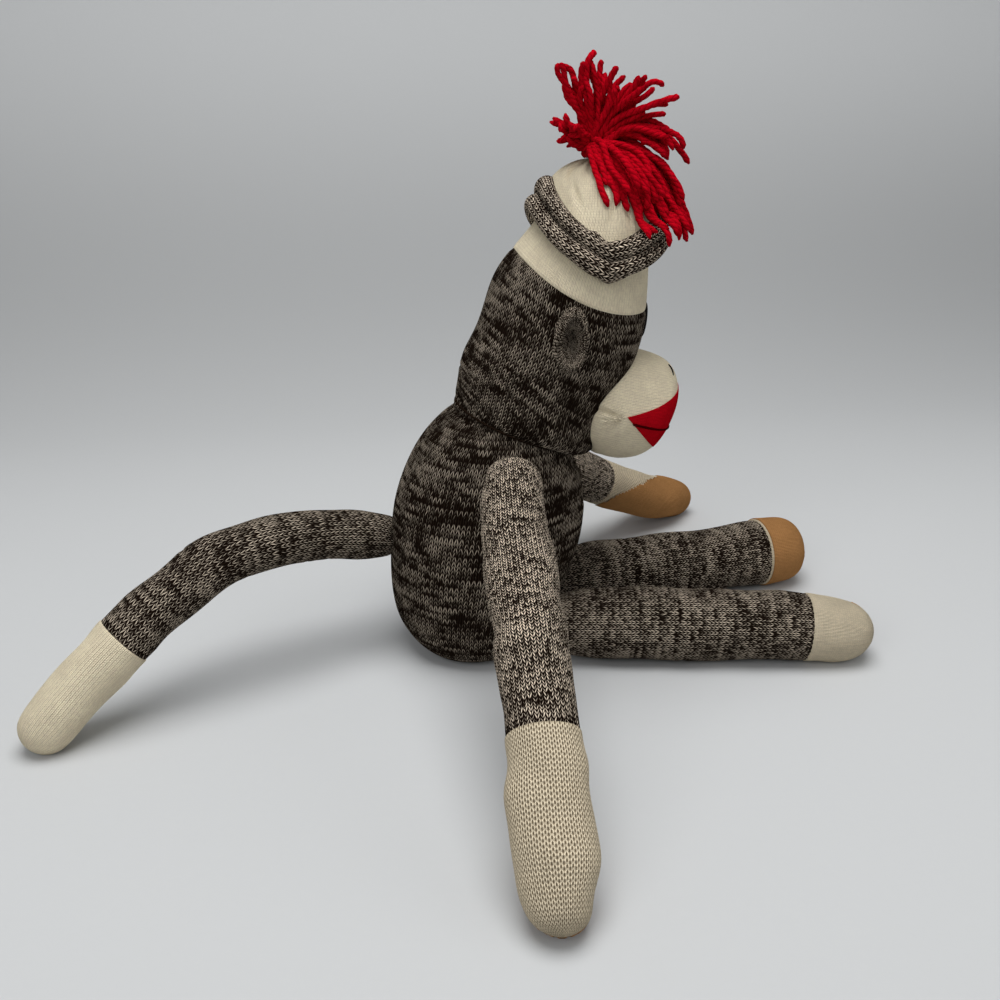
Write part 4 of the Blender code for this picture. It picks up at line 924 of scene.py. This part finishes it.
class DOLL_OT_head(bpy.types.Operator):
    """Makes the marl head skin, which bends at the neck, and the cream top of the head"""

    bl_idname = "doll.head"
    bl_label = "Head"

    def execute(self, context):
        sizes = context.scene.doll_sizes
        form = head_form(sizes)
        sides = 220
        turns = turns_of(sides)
        band = form.crossing(turns, over_band, form.length * 0.3)
        lengths = spread(0.0, band, 170, sides)
        places = form.on(turns, lengths)
        waves = np.cos(NECK_GATHERS * turns + lumps(places, 5, 0.03, 1.2))
        push = lumps(places, 11, 0.045, 0.0007) * smooth(lengths / 0.03)
        push += smooth(1 - lengths / 0.014) * (NECK_GATHER_DEPTH * waves - 0.0002)
        push += folds(turns, lengths, HEAD_DEEP / 2, HEAD_FOLDS)
        push -= 0.0006 * smooth(1 - (band - lengths) / 0.003)
        places, courses = tucked(pushed(places, push), (lengths - band) / sizes.course, True, True)
        columns = knit_counts(sizes.column, HEAD_ROUND)
        head = ring_mesh("head_skin", places, columns, courses, "marl_body", shift=400)
        settle("head")
        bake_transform(head)

        lengths = spread(band, form.length - 0.004, 90, sides)
        over = lengths - band
        places = form.on(turns, lengths)
        at_side = smooth(1 - np.abs(np.abs(turns - math.pi) - math.pi / 2) / 0.6)
        push = 0.0003 * smooth(over / 0.0015)
        push += dent(over - 0.018, 0.008) * at_side * 0.0004 * np.cos(70 * turns)
        places, courses = tucked(pushed(places, push), over / sizes.fine_course, True, False)
        columns = knit_counts(sizes.fine_column, HEAD_TOP_ROUND)
        top = ring_mesh("head_top_skin", places, columns, courses, "cream_fine")
        in_place(top, "head", "head_top")
        return {"FINISHED"}


class DOLL_OT_ears(bpy.types.Operator):
    """Makes the two cupped ears"""

    bl_idname = "doll.ears"
    bl_label = "Ears"

    def execute(self, context):
        sizes = context.scene.doll_sizes
        tree = solid_of(head_form(sizes))
        ahead_half, out_half, up_half = EAR_HALVES
        profile = np.array(EAR_PROFILE)
        steps = np.linspace(0, len(profile) - 1, 56)
        wide, high = (np.interp(steps, range(len(profile)), shares)[:, None] for shares in profile.T)
        turns = turns_of(72)
        shift = smooth((steps - 4) / 5)[:, None] * ahead_half * 0.12
        courses = np.linspace(0, EAR_PROFILE_LONG, len(steps)) / (sizes.course * 0.6)
        for label, side in SIDES.items():
            start = NECK + AHEAD * HEAD_CORE + UP * EAR_HEIGHT
            place, out = hit(tree, start, level_way(side * EAR_TURN))
            ahead = unit(AHEAD - out * np.dot(AHEAD, out))
            up = np.cross(out, ahead) * side
            up *= math.copysign(1, up[2])
            x = wide * np.cos(turns) * ahead_half + shift
            y = high * out_half * (1 + 0.10 * np.cos(turns) * smooth(high))
            z = wide * np.sin(turns) * up_half
            places = place + x[..., None] * ahead + z[..., None] * up + y[..., None] * out
            places = pushed(places, lumps(places, 20 + side, 0.010, 0.0008))
            ear = ring_mesh(f"ear_{label}_knit", places, EAR_COLUMNS, courses, "marl_ear", shift=60 * side)
            in_place(ear, "head", f"ear_{label}")
        return {"FINISHED"}


class DOLL_OT_eyes(bpy.types.Operator):
    """Makes the two embroidered eyes"""

    bl_idname = "doll.eyes"
    bl_label = "Eyes"

    def execute(self, context):
        sizes = context.scene.doll_sizes
        tree = solid_of(head_form(sizes))
        for label, side in SIDES.items():
            start = NECK + AHEAD * HEAD_CORE + UP * EYE_HEIGHT
            place, out = hit(tree, start, level_way(side * EYE_TURN))
            aside = unit(np.cross(UP, out))
            up = np.cross(out, aside)
            thick, wide, tall = EYE_HALVES
            turns = turns_of(64)
            angles = np.linspace(-0.15, 1.45, 20)
            flat = np.cos(angles)[:, None]
            ridge = 1 + 0.05 * np.cos(34 * turns)
            places = (place + (flat * np.cos(turns) * wide * ridge)[..., None] * aside
                      + (flat * np.sin(turns) * tall)[..., None] * up
                      + (np.sin(angles)[:, None] * thick * np.ones(64))[..., None] * out)
            eye = ring_mesh(f"eye_{label}_stitches", places, 24, angles * 2, "black_stitches")
            in_place(eye, "head", f"eye_{label}")
        return {"FINISHED"}


class DOLL_OT_muzzle(bpy.types.Operator):
    """Makes the stuffed muzzle, the red mouth, its line and the nostril stitches"""

    bl_idname = "doll.muzzle"
    bl_label = "Muzzle and mouth"

    def skin(self, form, grow):
        """Places of the muzzle's skin, with its gathers and creases."""
        sides = 200
        lengths = spread(0.012, form.length - POLE_GAP, 150, sides)
        places = form.on(turns_of(sides), lengths)
        ahead, up = places[..., 0] - MOUTH_CORNER[0], places[..., 2] - MOUTH_CORNER[2]
        angle, reach = np.arctan2(up, ahead), np.hypot(ahead, up)
        aside = smooth((np.abs(places[..., 1]) - 0.016) / 0.008)
        behind = smooth((np.abs(angle) - 2.35) / 0.3)
        fan = np.cos((np.abs(angle) - math.pi) * 26) * behind * aside
        fan *= smooth(1 - reach / 0.022) * smooth(reach / 0.003)
        crease = dent(angle - 2.93, 0.10) * aside * smooth(reach / 0.004) * smooth(1.6 - reach / 0.02)
        push = fan * 0.0011 + lumps(places, 31, 0.04, 0.0004) - 0.0020 * crease
        under = smooth((-0.012 - up) / 0.008) * smooth(-ahead / 0.01)
        push -= under * (np.maximum(push, 0) + 0.0005)
        chin = smooth((0.144 - places[..., 2]) / 0.007) * smooth((0.064 - places[..., 0]) / 0.009)
        push -= 0.0048 * chin * dent(places[..., 1], 0.022, 4)
        return pushed(places, push + grow), lengths

    def execute(self, context):
        sizes = context.scene.doll_sizes
        form = muzzle_form()
        places, lengths = self.skin(form, 0.0)
        columns = knit_counts(sizes.fine_column, MUZZLE_ROUND)
        courses = lengths / sizes.fine_course
        muzzle = ring_mesh("muzzle_skin", places, columns, courses, "cream_fine")
        in_place(muzzle, "head", "muzzle")

        places, _ = self.skin(form, MOUTH_RISE)
        patch = ring_mesh("mouth_cloth", places, columns, courses, "red_mouth")
        bm = bmesh.new()
        bm.from_mesh(patch.data)
        for v in bm.verts:
            v.co.z -= mouth_lift(v.co.x)
        for angle, side in ((MOUTH_TOP, 1), (MOUTH_BOTTOM, -1)):
            normal = Vector((-math.sin(angle), 0, math.cos(angle))) * side
            bmesh.ops.bisect_plane(bm, geom=bm.verts[:] + bm.edges[:] + bm.faces[:],
                                   plane_co=Vector(MOUTH_CORNER), plane_no=normal, clear_outer=True,
                                   dist=0.00001)
        for v in bm.verts:
            v.co.z += mouth_lift(v.co.x)
        behind = [v for v in bm.verts if v.co.x < MOUTH_CORNER[0] - 0.0002]
        bmesh.ops.delete(bm, geom=behind, context="VERTS")
        turn_in_rim(bm, Vector(MUZZLE_BASE))
        bm.to_mesh(patch.data)
        bm.free()
        in_place(patch, "head", "mouth")

        tree = solid_of(form)
        way = AHEAD * math.cos(MOUTH_LINE) + UP * math.sin(MOUTH_LINE)
        start = MOUTH_CORNER + AHEAD * LINE_START - UP * LINE_DROP
        path = []
        for angle in np.linspace(-LINE_HALF_TURN, LINE_HALF_TURN, 160):
            place, normal = hit(tree, start, way * math.cos(angle) + LEFT * math.sin(angle))
            path.append(place + normal * 0.0005)
        thread_piece("mouth_line_thread", path, 0.0008, 0.004, "dark_red_thread", "head",
                     "mouth_thread")

        for label, side in SIDES.items():
            path = []
            for step in np.linspace(-0.5, 0.5, 14):
                origin = MUZZLE_BASE + LEFT * side * (NOSTRIL_ASIDE - step * NOSTRIL_LEAN)
                origin = np.array((origin[0], origin[1], NECK[2] + NOSTRIL_HEIGHT + step * NOSTRIL_LONG))
                place, normal = hit(tree, origin, AHEAD)
                path.append(place + normal * (0.0006 * math.cos(step * 2.6)))
            thread_piece(f"nostril_{label}_stitch", path, 0.00045, 0.003, "black_stitches", "head",
                         f"nostril_{label}")
        return {"FINISHED"}


class DOLL_OT_cap(bpy.types.Operator):
    """Makes the cream crown, pleated to its tie, and the two rolls of the brim"""

    bl_idname = "doll.cap"
    bl_label = "Cap"

    def execute(self, context):
        sizes = context.scene.doll_sizes
        form = crown_form()
        sides = 200
        turns = turns_of(sides)
        start = form.crossing(turns, over_brim)
        lengths = spread(start, form.length - 0.001, 110, sides)
        left = form.length - lengths
        places = form.on(turns, lengths)
        waves = np.cos(CROWN_PLEATS * turns + lumps(places, 44, 0.05, 1.0))
        push = smooth(1 - left / 0.026) * (CROWN_PLEAT_DEPTH * waves - 0.0003)
        push += lumps(places, 41, 0.035, 0.0008) * smooth((lengths - start) / 0.01)
        push += folds(turns, left, 0.03, CROWN_FOLDS)
        columns = knit_counts(sizes.fine_column, CROWN_ROUND)
        crown = ring_mesh("cap_crown_knit", pushed(places, push), columns, lengths / sizes.fine_course,
                          "cream_fine")
        in_place(crown, "head", "cap_crown")

        tree = solid_of(crown_form(0.0002))
        turns = turns_of(240)
        rings = []
        for turn in turns:
            core = NECK + AHEAD * BRIM_CORE + UP * brim_rise(turn)
            way = unit(np.array((HEAD_DEEP * math.cos(turn), HEAD_WIDE * math.sin(turn), 0.0)))
            section = []
            for rise, (share, first, last) in ((0.0, LOWER_RIDGE), (RIDGE_STEP, UPPER_RIDGE)):
                centre, _ = hit(tree, core + UP * rise, way)
                half = RIDGE_HALF * share
                for angle in np.linspace(first, last, 24):
                    out = RIDGE_OUT + half * math.cos(angle)
                    section.append(centre + way * out + UP * half * math.sin(angle))
            rings.append(section)
        rings = np.array(rings)
        lowest = min(np.linspace(0.5, 2.5, 101), key=brim_rise)
        bunch = dent(np.abs(np.mod(turns + math.pi, TAU) - math.pi) - lowest, 0.22)
        wave = lumps(rings, 52, 0.035, 0.0003) + lumps(rings, 59, 0.009, 0.0007) * bunch[:, None]
        rings += (rings - rings.mean(axis=1, keepdims=True)) * wave[..., None] / RIDGE_HALF
        in_place(self.rolled(rings, sizes), "head", "cap_brim")
        return {"FINISHED"}

    def rolled(self, rings, sizes):
        """Mesh of the brim, whose sections follow one another round the head."""
        count, sides = rings.shape[:2]
        middles = rings.mean(axis=1)
        steps = np.linalg.norm(np.roll(middles, -1, axis=0) - middles, axis=1)
        along = np.concatenate(((0.0,), np.cumsum(steps))) / sizes.course
        along *= round(along[-1]) / along[-1]
        steps = np.linalg.norm(np.diff(rings[0], axis=0), axis=1)
        across = np.concatenate(((0.0,), np.cumsum(steps), (BRIM_UNDERSIDE,))) / sizes.column
        faces, stitches = [], []
        for i in range(count):
            for j in range(sides):
                k, m = (i + 1) % count, (j + 1) % sides
                faces.append((i * sides + j, i * sides + m, k * sides + m, k * sides + j))
                for u, v in ((j, i), (j + 1, i), (j + 1, i + 1), (j, i + 1)):
                    stitches.append((across[u], along[v]))
        return upright_faces(add_mesh("cap_brim_rolls", rings.reshape(-1, 3), faces, stitches, "marl_brim"))


class DOLL_OT_tuft(bpy.types.Operator):
    """Makes the strands of the yarn tuft and the yarn that ties them"""

    bl_idname = "doll.tuft"
    bl_label = "Tuft"

    def execute(self, context):
        sizes = context.scene.doll_sizes
        chance = np.random.default_rng(7)
        verts, faces, stitches = [], [], []

        def strand(path, half):
            rings, lengths = twisted_cord(path, half, 10, 3, YARN_TWIST, chance.uniform(0, TAU))
            points, walls, counts = shell(rings, 1, lengths / YARN_COURSE, base=len(verts))
            verts.extend(points)
            faces.extend(walls)
            stitches.extend(counts)

        cap = solid_of(crown_form())

        def clear_of_cap(path, half):
            """Lifts a strand over the crown and the rolls of the brim."""
            lifted = []
            for place in path:
                near, normal, _, _ = cap.find_nearest(Vector(place))
                near, normal = np.array(near), np.array(normal)
                if np.dot(normal, near - KNOT + UP * 0.03) < 0:
                    normal = -normal
                below = RIDGE_STEP + RIDGE_HALF + 0.003 - over_brim(place)
                clear = half * 1.1 + 0.0125 * float(smooth(below / 0.007))
                short = clear - float(np.dot(normal, place - near))
                lifted.append(place + normal * max(0.0, short))
            lifted = np.array(lifted)
            for _ in range(2):
                lifted[1:-1] = (lifted[:-2] + 2 * lifted[1:-1] + lifted[2:]) / 4
            return lifted

        count = 0

        def bent(tip, lift, half):
            nonlocal count
            turn, ring = 2.4 * count, KNOT_HALF * 0.8 * math.sqrt((count % 30) / 30)
            count += 1
            length = np.linalg.norm(tip)
            root = np.array((ring * math.cos(turn), ring * math.sin(turn), -0.0045))
            level = np.array((tip[0], tip[1], 0.0))
            first = root + level * 0.15 + UP * (0.006 + length * 0.30 * lift)
            first = first + chance.normal(size=3) * 0.002
            second = tip * 0.80 + UP * length * (0.34 if tip[2] < 0 else 0.03)
            second = second + chance.normal(size=3) * 0.003
            path = KNOT + bezier(root, first, second, np.array(tip), max(12, int(length / 0.0016)))
            share = np.linspace(0, 1, len(path))
            for _ in range(3):
                wave = chance.normal(size=3) * 0.0010
                sway = np.sin(share * chance.uniform(5, 11) + chance.uniform(0, 6)) * share
                path = path + np.outer(sway, wave)
            high = share > 0.12
            path[high] = clear_of_cap(path[high], half)
            strand(path, half)

        for tip in FAN_TIPS:
            for i in range(sizes.strands):
                shorter = 1 - 0.10 * i * chance.uniform(0.5, 1.4)
                slip = chance.normal(size=3) * np.array((0.002, 0.005, 0.002)) * (i > 0)
                bent(np.array(tip) * shorter + slip, 1.0, sizes.yarn_half * chance.uniform(0.9, 1.08))
        for i in range(sizes.drooping):
            place = (i + chance.uniform(-0.5, 0.5)) / (sizes.drooping - 1)
            turn = math.radians(DROOP_START + DROOP_ARC * place)
            reach = (0.031 + 0.031 * max(0.0, math.cos(turn)) ** 1.2) * chance.uniform(0.70, 1.0)
            drop = min(DROOP_MOST, reach * chance.uniform(0.45, 1.05))
            tip = np.array((reach * math.cos(turn), reach * math.sin(turn), -drop))
            bent(tip, chance.uniform(0.25, 0.95), sizes.yarn_half * chance.uniform(0.9, 1.1))
        tuft = add_mesh("tuft_yarn", verts, faces, stitches, "spun_yarn")
        settle("tuft")
        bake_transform(tuft)

        path = [KNOT + level_way(turn) * KNOT_TIE for turn in np.linspace(0, TAU, 49)]
        thread_piece("tuft_tie_yarn", path, KNOT_TIE_HALF, 0.006, "spun_yarn", "tuft", "tuft_tie",
                     sides=10, ply=3, ends=False)
        return {"FINISHED"}


class Limb:
    """Knitted skin of a limb, whose end has other yarn and a pad on one side."""

    def __init__(self, sizes, form, seam, radius, seed, fold_rows):
        self.sizes, self.form, self.seam, self.radius = sizes, form, seam, radius
        self.seed, self.fold_rows = seed, fold_rows

    def skin(self, turns, lengths, end):
        """Places of the skin, with its stuffing lumps, its folds and the gathers at the seam."""
        places = self.form.on(turns, lengths)
        away = np.abs(lengths - self.seam)
        push = lumps(places, self.seed, 0.032, 0.0007) * smooth(away / 0.02)
        push += folds(turns, lengths, self.radius, self.fold_rows)
        if end:
            push += 0.0003 * smooth(1 - away / 0.01)
        else:
            waves = np.cos(34 * turns + lumps(places, self.seed + 7, 0.03, 1.5))
            push += smooth(1 - away / 0.008) * (0.0004 * waves - 0.0006)
        places = pushed(places, push)
        places[..., 2] = np.maximum(places[..., 2], 0.0002)
        return places

    def piece(self, node, end, cloth, body, slot, sides, column, course):
        low, high = (self.seam, self.form.length - POLE_GAP) if end else (0.0015, self.seam)
        lengths = spread(low, high, max(30, int((high - low) / 0.0012)), sides)
        places = self.skin(turns_of(sides), lengths, end)
        places, courses = tucked(places, lengths / course, end, not end, 0.0011)
        columns = knit_counts(column, self.radius)
        piece = ring_mesh(f"{node}_skin", places, columns, courses, cloth, shift=self.seed * 10)
        in_place(piece, body, node)

    def pad(self, node, outward, point, body, sides=128):
        """Whole stitches of the end's skin on one side of a plane, a little proud, their rim turned in."""
        sizes, form = self.sizes, self.form
        count = max(30, int((form.length - self.seam) / 0.0007))
        lengths = spread(self.seam + 0.0008, form.length - POLE_GAP, count, sides)
        places = self.skin(turns_of(sides), lengths, True)
        places = pushed(places, np.full(lengths.shape, 0.0004 + sizes.pad_rise))
        places[..., 2] = np.maximum(places[..., 2], 0.0001)
        columns, course = knit_counts(sizes.fine_column, self.radius), sizes.fine_course
        piece = ring_mesh(f"{node}_skin", places, columns, lengths / course, "tan_pad")
        bm = bmesh.new()
        bm.from_mesh(piece.data)
        layer = bm.loops.layers.uv.active
        drop = []
        for face in bm.faces:
            column = sum(loop[layer].uv[0] for loop in face.loops) / len(face.loops)
            level = sum(loop[layer].uv[1] for loop in face.loops) / len(face.loops)
            if len(face.verts) == 3:
                start = level * course < form.length / 2 + self.seam / 2
                if start or np.dot(np.array(face.calc_center_median()) - point, outward) < 0:
                    drop.append(face)
                continue
            turn = (math.floor(column) + 0.5) / columns * TAU
            length = min((math.floor(level / 2) + 0.5) * 2 * course, form.length)
            if np.dot(form.on(np.array(turn), np.array(length)) - point, outward) < 0:
                drop.append(face)
        bmesh.ops.delete(bm, geom=drop, context="FACES")
        if not bm.faces:
            raise RuntimeError(f"nothing is left of {node}")
        middle = form.on(np.array((0.0, math.pi)), np.array((form.length * 0.8,) * 2)).mean(axis=0)
        turn_in_rim(bm, Vector(middle))
        bm.to_mesh(piece.data)
        bm.free()
        piece.data.shade_smooth()
        in_place(piece, body, node)


def pad_plane(inward, way, shares, tip, half):
    """Direction of the plane behind a pad and a point on it."""
    inside, upward, lengthwise, depth = shares
    outward = unit(inward * inside + UP * upward + way * lengthwise)
    return outward, tip + outward * depth * half


class DOLL_OT_arms(bpy.types.Operator):
    """Makes the stuffed arms with their cream hands and tan palms"""

    bl_idname = "doll.arms"
    bl_label = "Arms"

    def execute(self, context):
        sizes = context.scene.doll_sizes
        for label, side in SIDES.items():
            turn, reach = ARM_TURNS[label], ARM_REACHES[label]
            way = level_way(turn)
            shoulder = SHOULDER * np.array((1, side, 1))
            low = HAND_REST - REST_SINK
            points = []
            for out, height in ARM_SHARES[label]:
                level = low + (SHOULDER[2] - low) * height
                points.append(np.array((shoulder[0], shoulder[1], level)) + way * reach * out)
            halves = [(wide * ARM_HALF, thick * ARM_HALF) for wide, thick in ARM_SECTION_SHARES[:-1]]
            halves.append((ARM_SECTION_SHARES[-1][0] * ARM_HALF, HAND_REST))
            form = limb_form(points, halves, halves[0][0], HAND_REST * ARM_TIP_SHARE)
            seam = float(np.interp(WRIST_SHARES[label] + DOME_STATIONS, form.steps, form.lengths))
            limb = Limb(sizes, form, seam, ARM_HALF, 60 + side, ARM_FOLDS)
            body = f"arm_{label}"
            limb.piece(f"arm_{label}", False, "marl_arm", body, "marl_knit", 120, sizes.column * 0.92,
                       sizes.course * 0.68)
            limb.piece(f"hand_{label}", True, "cream_hand", body, "cream_knit", 120, sizes.column * 0.83,
                       sizes.course * 0.8)
            plane = pad_plane(np.cross(way, UP) * side, way, PALM_SHARES[label], points[-1], ARM_HALF)
            limb.pad(f"palm_{label}", *plane, body)
        return {"FINISHED"}


class DOLL_OT_legs(bpy.types.Operator):
    """Makes the stuffed legs with their cream feet and tan soles"""

    bl_idname = "doll.legs"
    bl_label = "Legs"

    def execute(self, context):
        sizes = context.scene.doll_sizes
        for label, side in SIDES.items():
            turn = LEG_TURNS[label]
            way = level_way(turn)
            points, halves = [], []
            for out, swell in LEG_SHARES[label]:
                half = LEG_HALF * swell
                points.append(np.array((HIP[0], side * HIP[1], half - FLAT)) + way * LEG_REACH * out)
                halves.append((half, half))
            form = limb_form(points, halves, halves[0][0], halves[-1][0] * TOE_SHARES[label])
            seam = float(np.interp(ANKLE_SHARES[label] + DOME_STATIONS, form.steps, form.lengths))
            crease = (4 * side, form.length - TOE_CREASE_FROM_END, *TOE_CREASE)
            limb = Limb(sizes, form, seam, LEG_HALF, 70 + side, (*LEG_FOLDS, crease))
            body = f"leg_{label}"
            limb.piece(f"leg_{label}", False, "marl_leg", body, "marl_knit", 140, sizes.column,
                       sizes.course * 0.85)
            limb.piece(f"foot_{label}", True, "cream_foot", body, "cream_knit", 140, sizes.fine_column,
                       sizes.fine_course)
            plane = pad_plane(np.cross(way, UP) * side, way, SOLE_SHARES[label], points[-1], LEG_HALF)
            limb.pad(f"sole_{label}", *plane, body)
        return {"FINISHED"}


class DOLL_OT_tail(bpy.types.Operator):
    """Makes the stuffed tail with its cream tip"""

    bl_idname = "doll.tail"
    bl_label = "Tail"

    def execute(self, context):
        sizes = context.scene.doll_sizes
        way = level_way(TAIL_TURN)
        low = TAIL_HALF * TAIL_SECTION_SHARES[-1] - REST_SINK
        points, halves = [], []
        for (out, height), swell in zip(TAIL_SHARES, TAIL_SECTION_SHARES):
            half = TAIL_HALF * swell
            points.append(np.array((TAIL_ROOT[0], TAIL_ROOT[1], low + (TAIL_ROOT[2] - low) * height))
                          + way * TAIL_REACH * out)
            halves.append((half, half))
        form = limb_form(points, halves, halves[0][0], halves[-1][0] * TAIL_END_SHARE)
        seam = float(np.interp(TAIL_TIP_START_SHARE + DOME_STATIONS, form.steps, form.lengths))
        limb = Limb(sizes, form, seam, TAIL_HALF, 80, TAIL_FOLDS)
        limb.piece("tail", False, "marl_leg", "tail", "marl_knit", 110, sizes.column, sizes.course)
        limb.piece("tail_tip", True, "cream_fine", "tail", "cream_knit", 110, sizes.fine_column,
                   sizes.fine_course)
        return {"FINISHED"}


class DOLL_OT_stage(bpy.types.Operator):
    """Makes the seamless backdrop, the soft lamps and the camera"""

    bl_idname = "doll.stage"
    bl_label = "Stage"

    def execute(self, context):
        profile = [(FLOOR_FRONT, 0.0), (FLOOR_BACK, 0.0)]
        for angle in np.linspace(0, math.pi / 2, 25)[1:]:
            away = FLOOR_BACK + WALL_BEND * math.sin(angle)
            profile.append((away, WALL_BEND - WALL_BEND * math.cos(angle)))
        profile.append((FLOOR_BACK + WALL_BEND, WALL_TOP))
        verts, faces = [], []
        for i, (away, height) in enumerate(profile):
            verts += [(-STAGE_HALF, away, height), (STAGE_HALF, away, height)]
            if i:
                faces.append((2 * i - 2, 2 * i - 1, 2 * i + 1, 2 * i))
        mesh = bpy.data.meshes.new("backdrop")
        mesh.from_pydata(verts, [], faces)
        mesh.shade_smooth()
        sweep = bpy.data.objects.new("backdrop", mesh)
        context.scene.collection.objects.link(sweep)
        mesh.materials.append(backdrop_paper(context.scene.doll_colours.backdrop))
        sweep.location.z = -0.0002

        world = bpy.data.worlds.new("soft_room")
        world.use_nodes = True
        background = world.node_tree.nodes["Background"]
        background.inputs["Color"].default_value = ROOM_COLOUR
        background.inputs["Strength"].default_value = ROOM_LIGHT
        context.scene.world = world
        for name, place, aim, size, power in LAMPS:
            light = bpy.data.lights.new(name, "AREA")
            light.shape = "DISK"
            light.size = size
            light.energy = power
            lamp = bpy.data.objects.new(name, light)
            lamp.location = place
            lamp.rotation_euler = (Vector(aim) - Vector(place)).to_track_quat("-Z", "Y").to_euler()
            context.scene.collection.objects.link(lamp)

        lens = bpy.data.cameras.new("camera")
        lens.lens = 36
        lens.sensor_width = 36
        lens.clip_start = 0.01
        camera = bpy.data.objects.new("camera", lens)
        camera.location = CAMERA_PLACE
        camera.rotation_euler = CAMERA_AIM.to_track_quat("-Z", "Y").to_euler()
        context.scene.collection.objects.link(camera)
        context.scene.camera = camera
        context.scene.view_settings.view_transform = "Standard"
        return {"FINISHED"}


OPERATORS = (DOLL_OT_cloths, DOLL_OT_stage, DOLL_OT_torso, DOLL_OT_head, DOLL_OT_ears, DOLL_OT_eyes,
             DOLL_OT_muzzle, DOLL_OT_cap, DOLL_OT_tuft, DOLL_OT_arms, DOLL_OT_legs, DOLL_OT_tail)


class DOLL_PT_panel(bpy.types.Panel):
    """Sizes, colours and pieces of the doll"""

    bl_idname = "DOLL_PT_panel"
    bl_label = "Sock monkey doll"
    bl_space_type = "VIEW_3D"
    bl_region_type = "UI"
    bl_category = "Doll"

    def draw(self, context):
        for group in (context.scene.doll_sizes, context.scene.doll_colours):
            box = self.layout.box()
            for name in group.__annotations__:
                box.prop(group, name)
        for operator in OPERATORS:
            self.layout.operator(operator.bl_idname)


CLASSES = (DollSizes, DollColours, *OPERATORS, DOLL_PT_panel)


def register():
    for part in CLASSES:
        bpy.utils.register_class(part)
    bpy.types.Scene.doll_sizes = bpy.props.PointerProperty(type=DollSizes)
    bpy.types.Scene.doll_colours = bpy.props.PointerProperty(type=DollColours)


def unregister():
    del bpy.types.Scene.doll_colours
    del bpy.types.Scene.doll_sizes
    for part in reversed(CLASSES):
        bpy.utils.unregister_class(part)


def main():
    register()
    for operator in OPERATORS:
        group, name = operator.bl_idname.split(".")
        getattr(getattr(bpy.ops, group), name)()


if __name__ == "__main__":
    main()
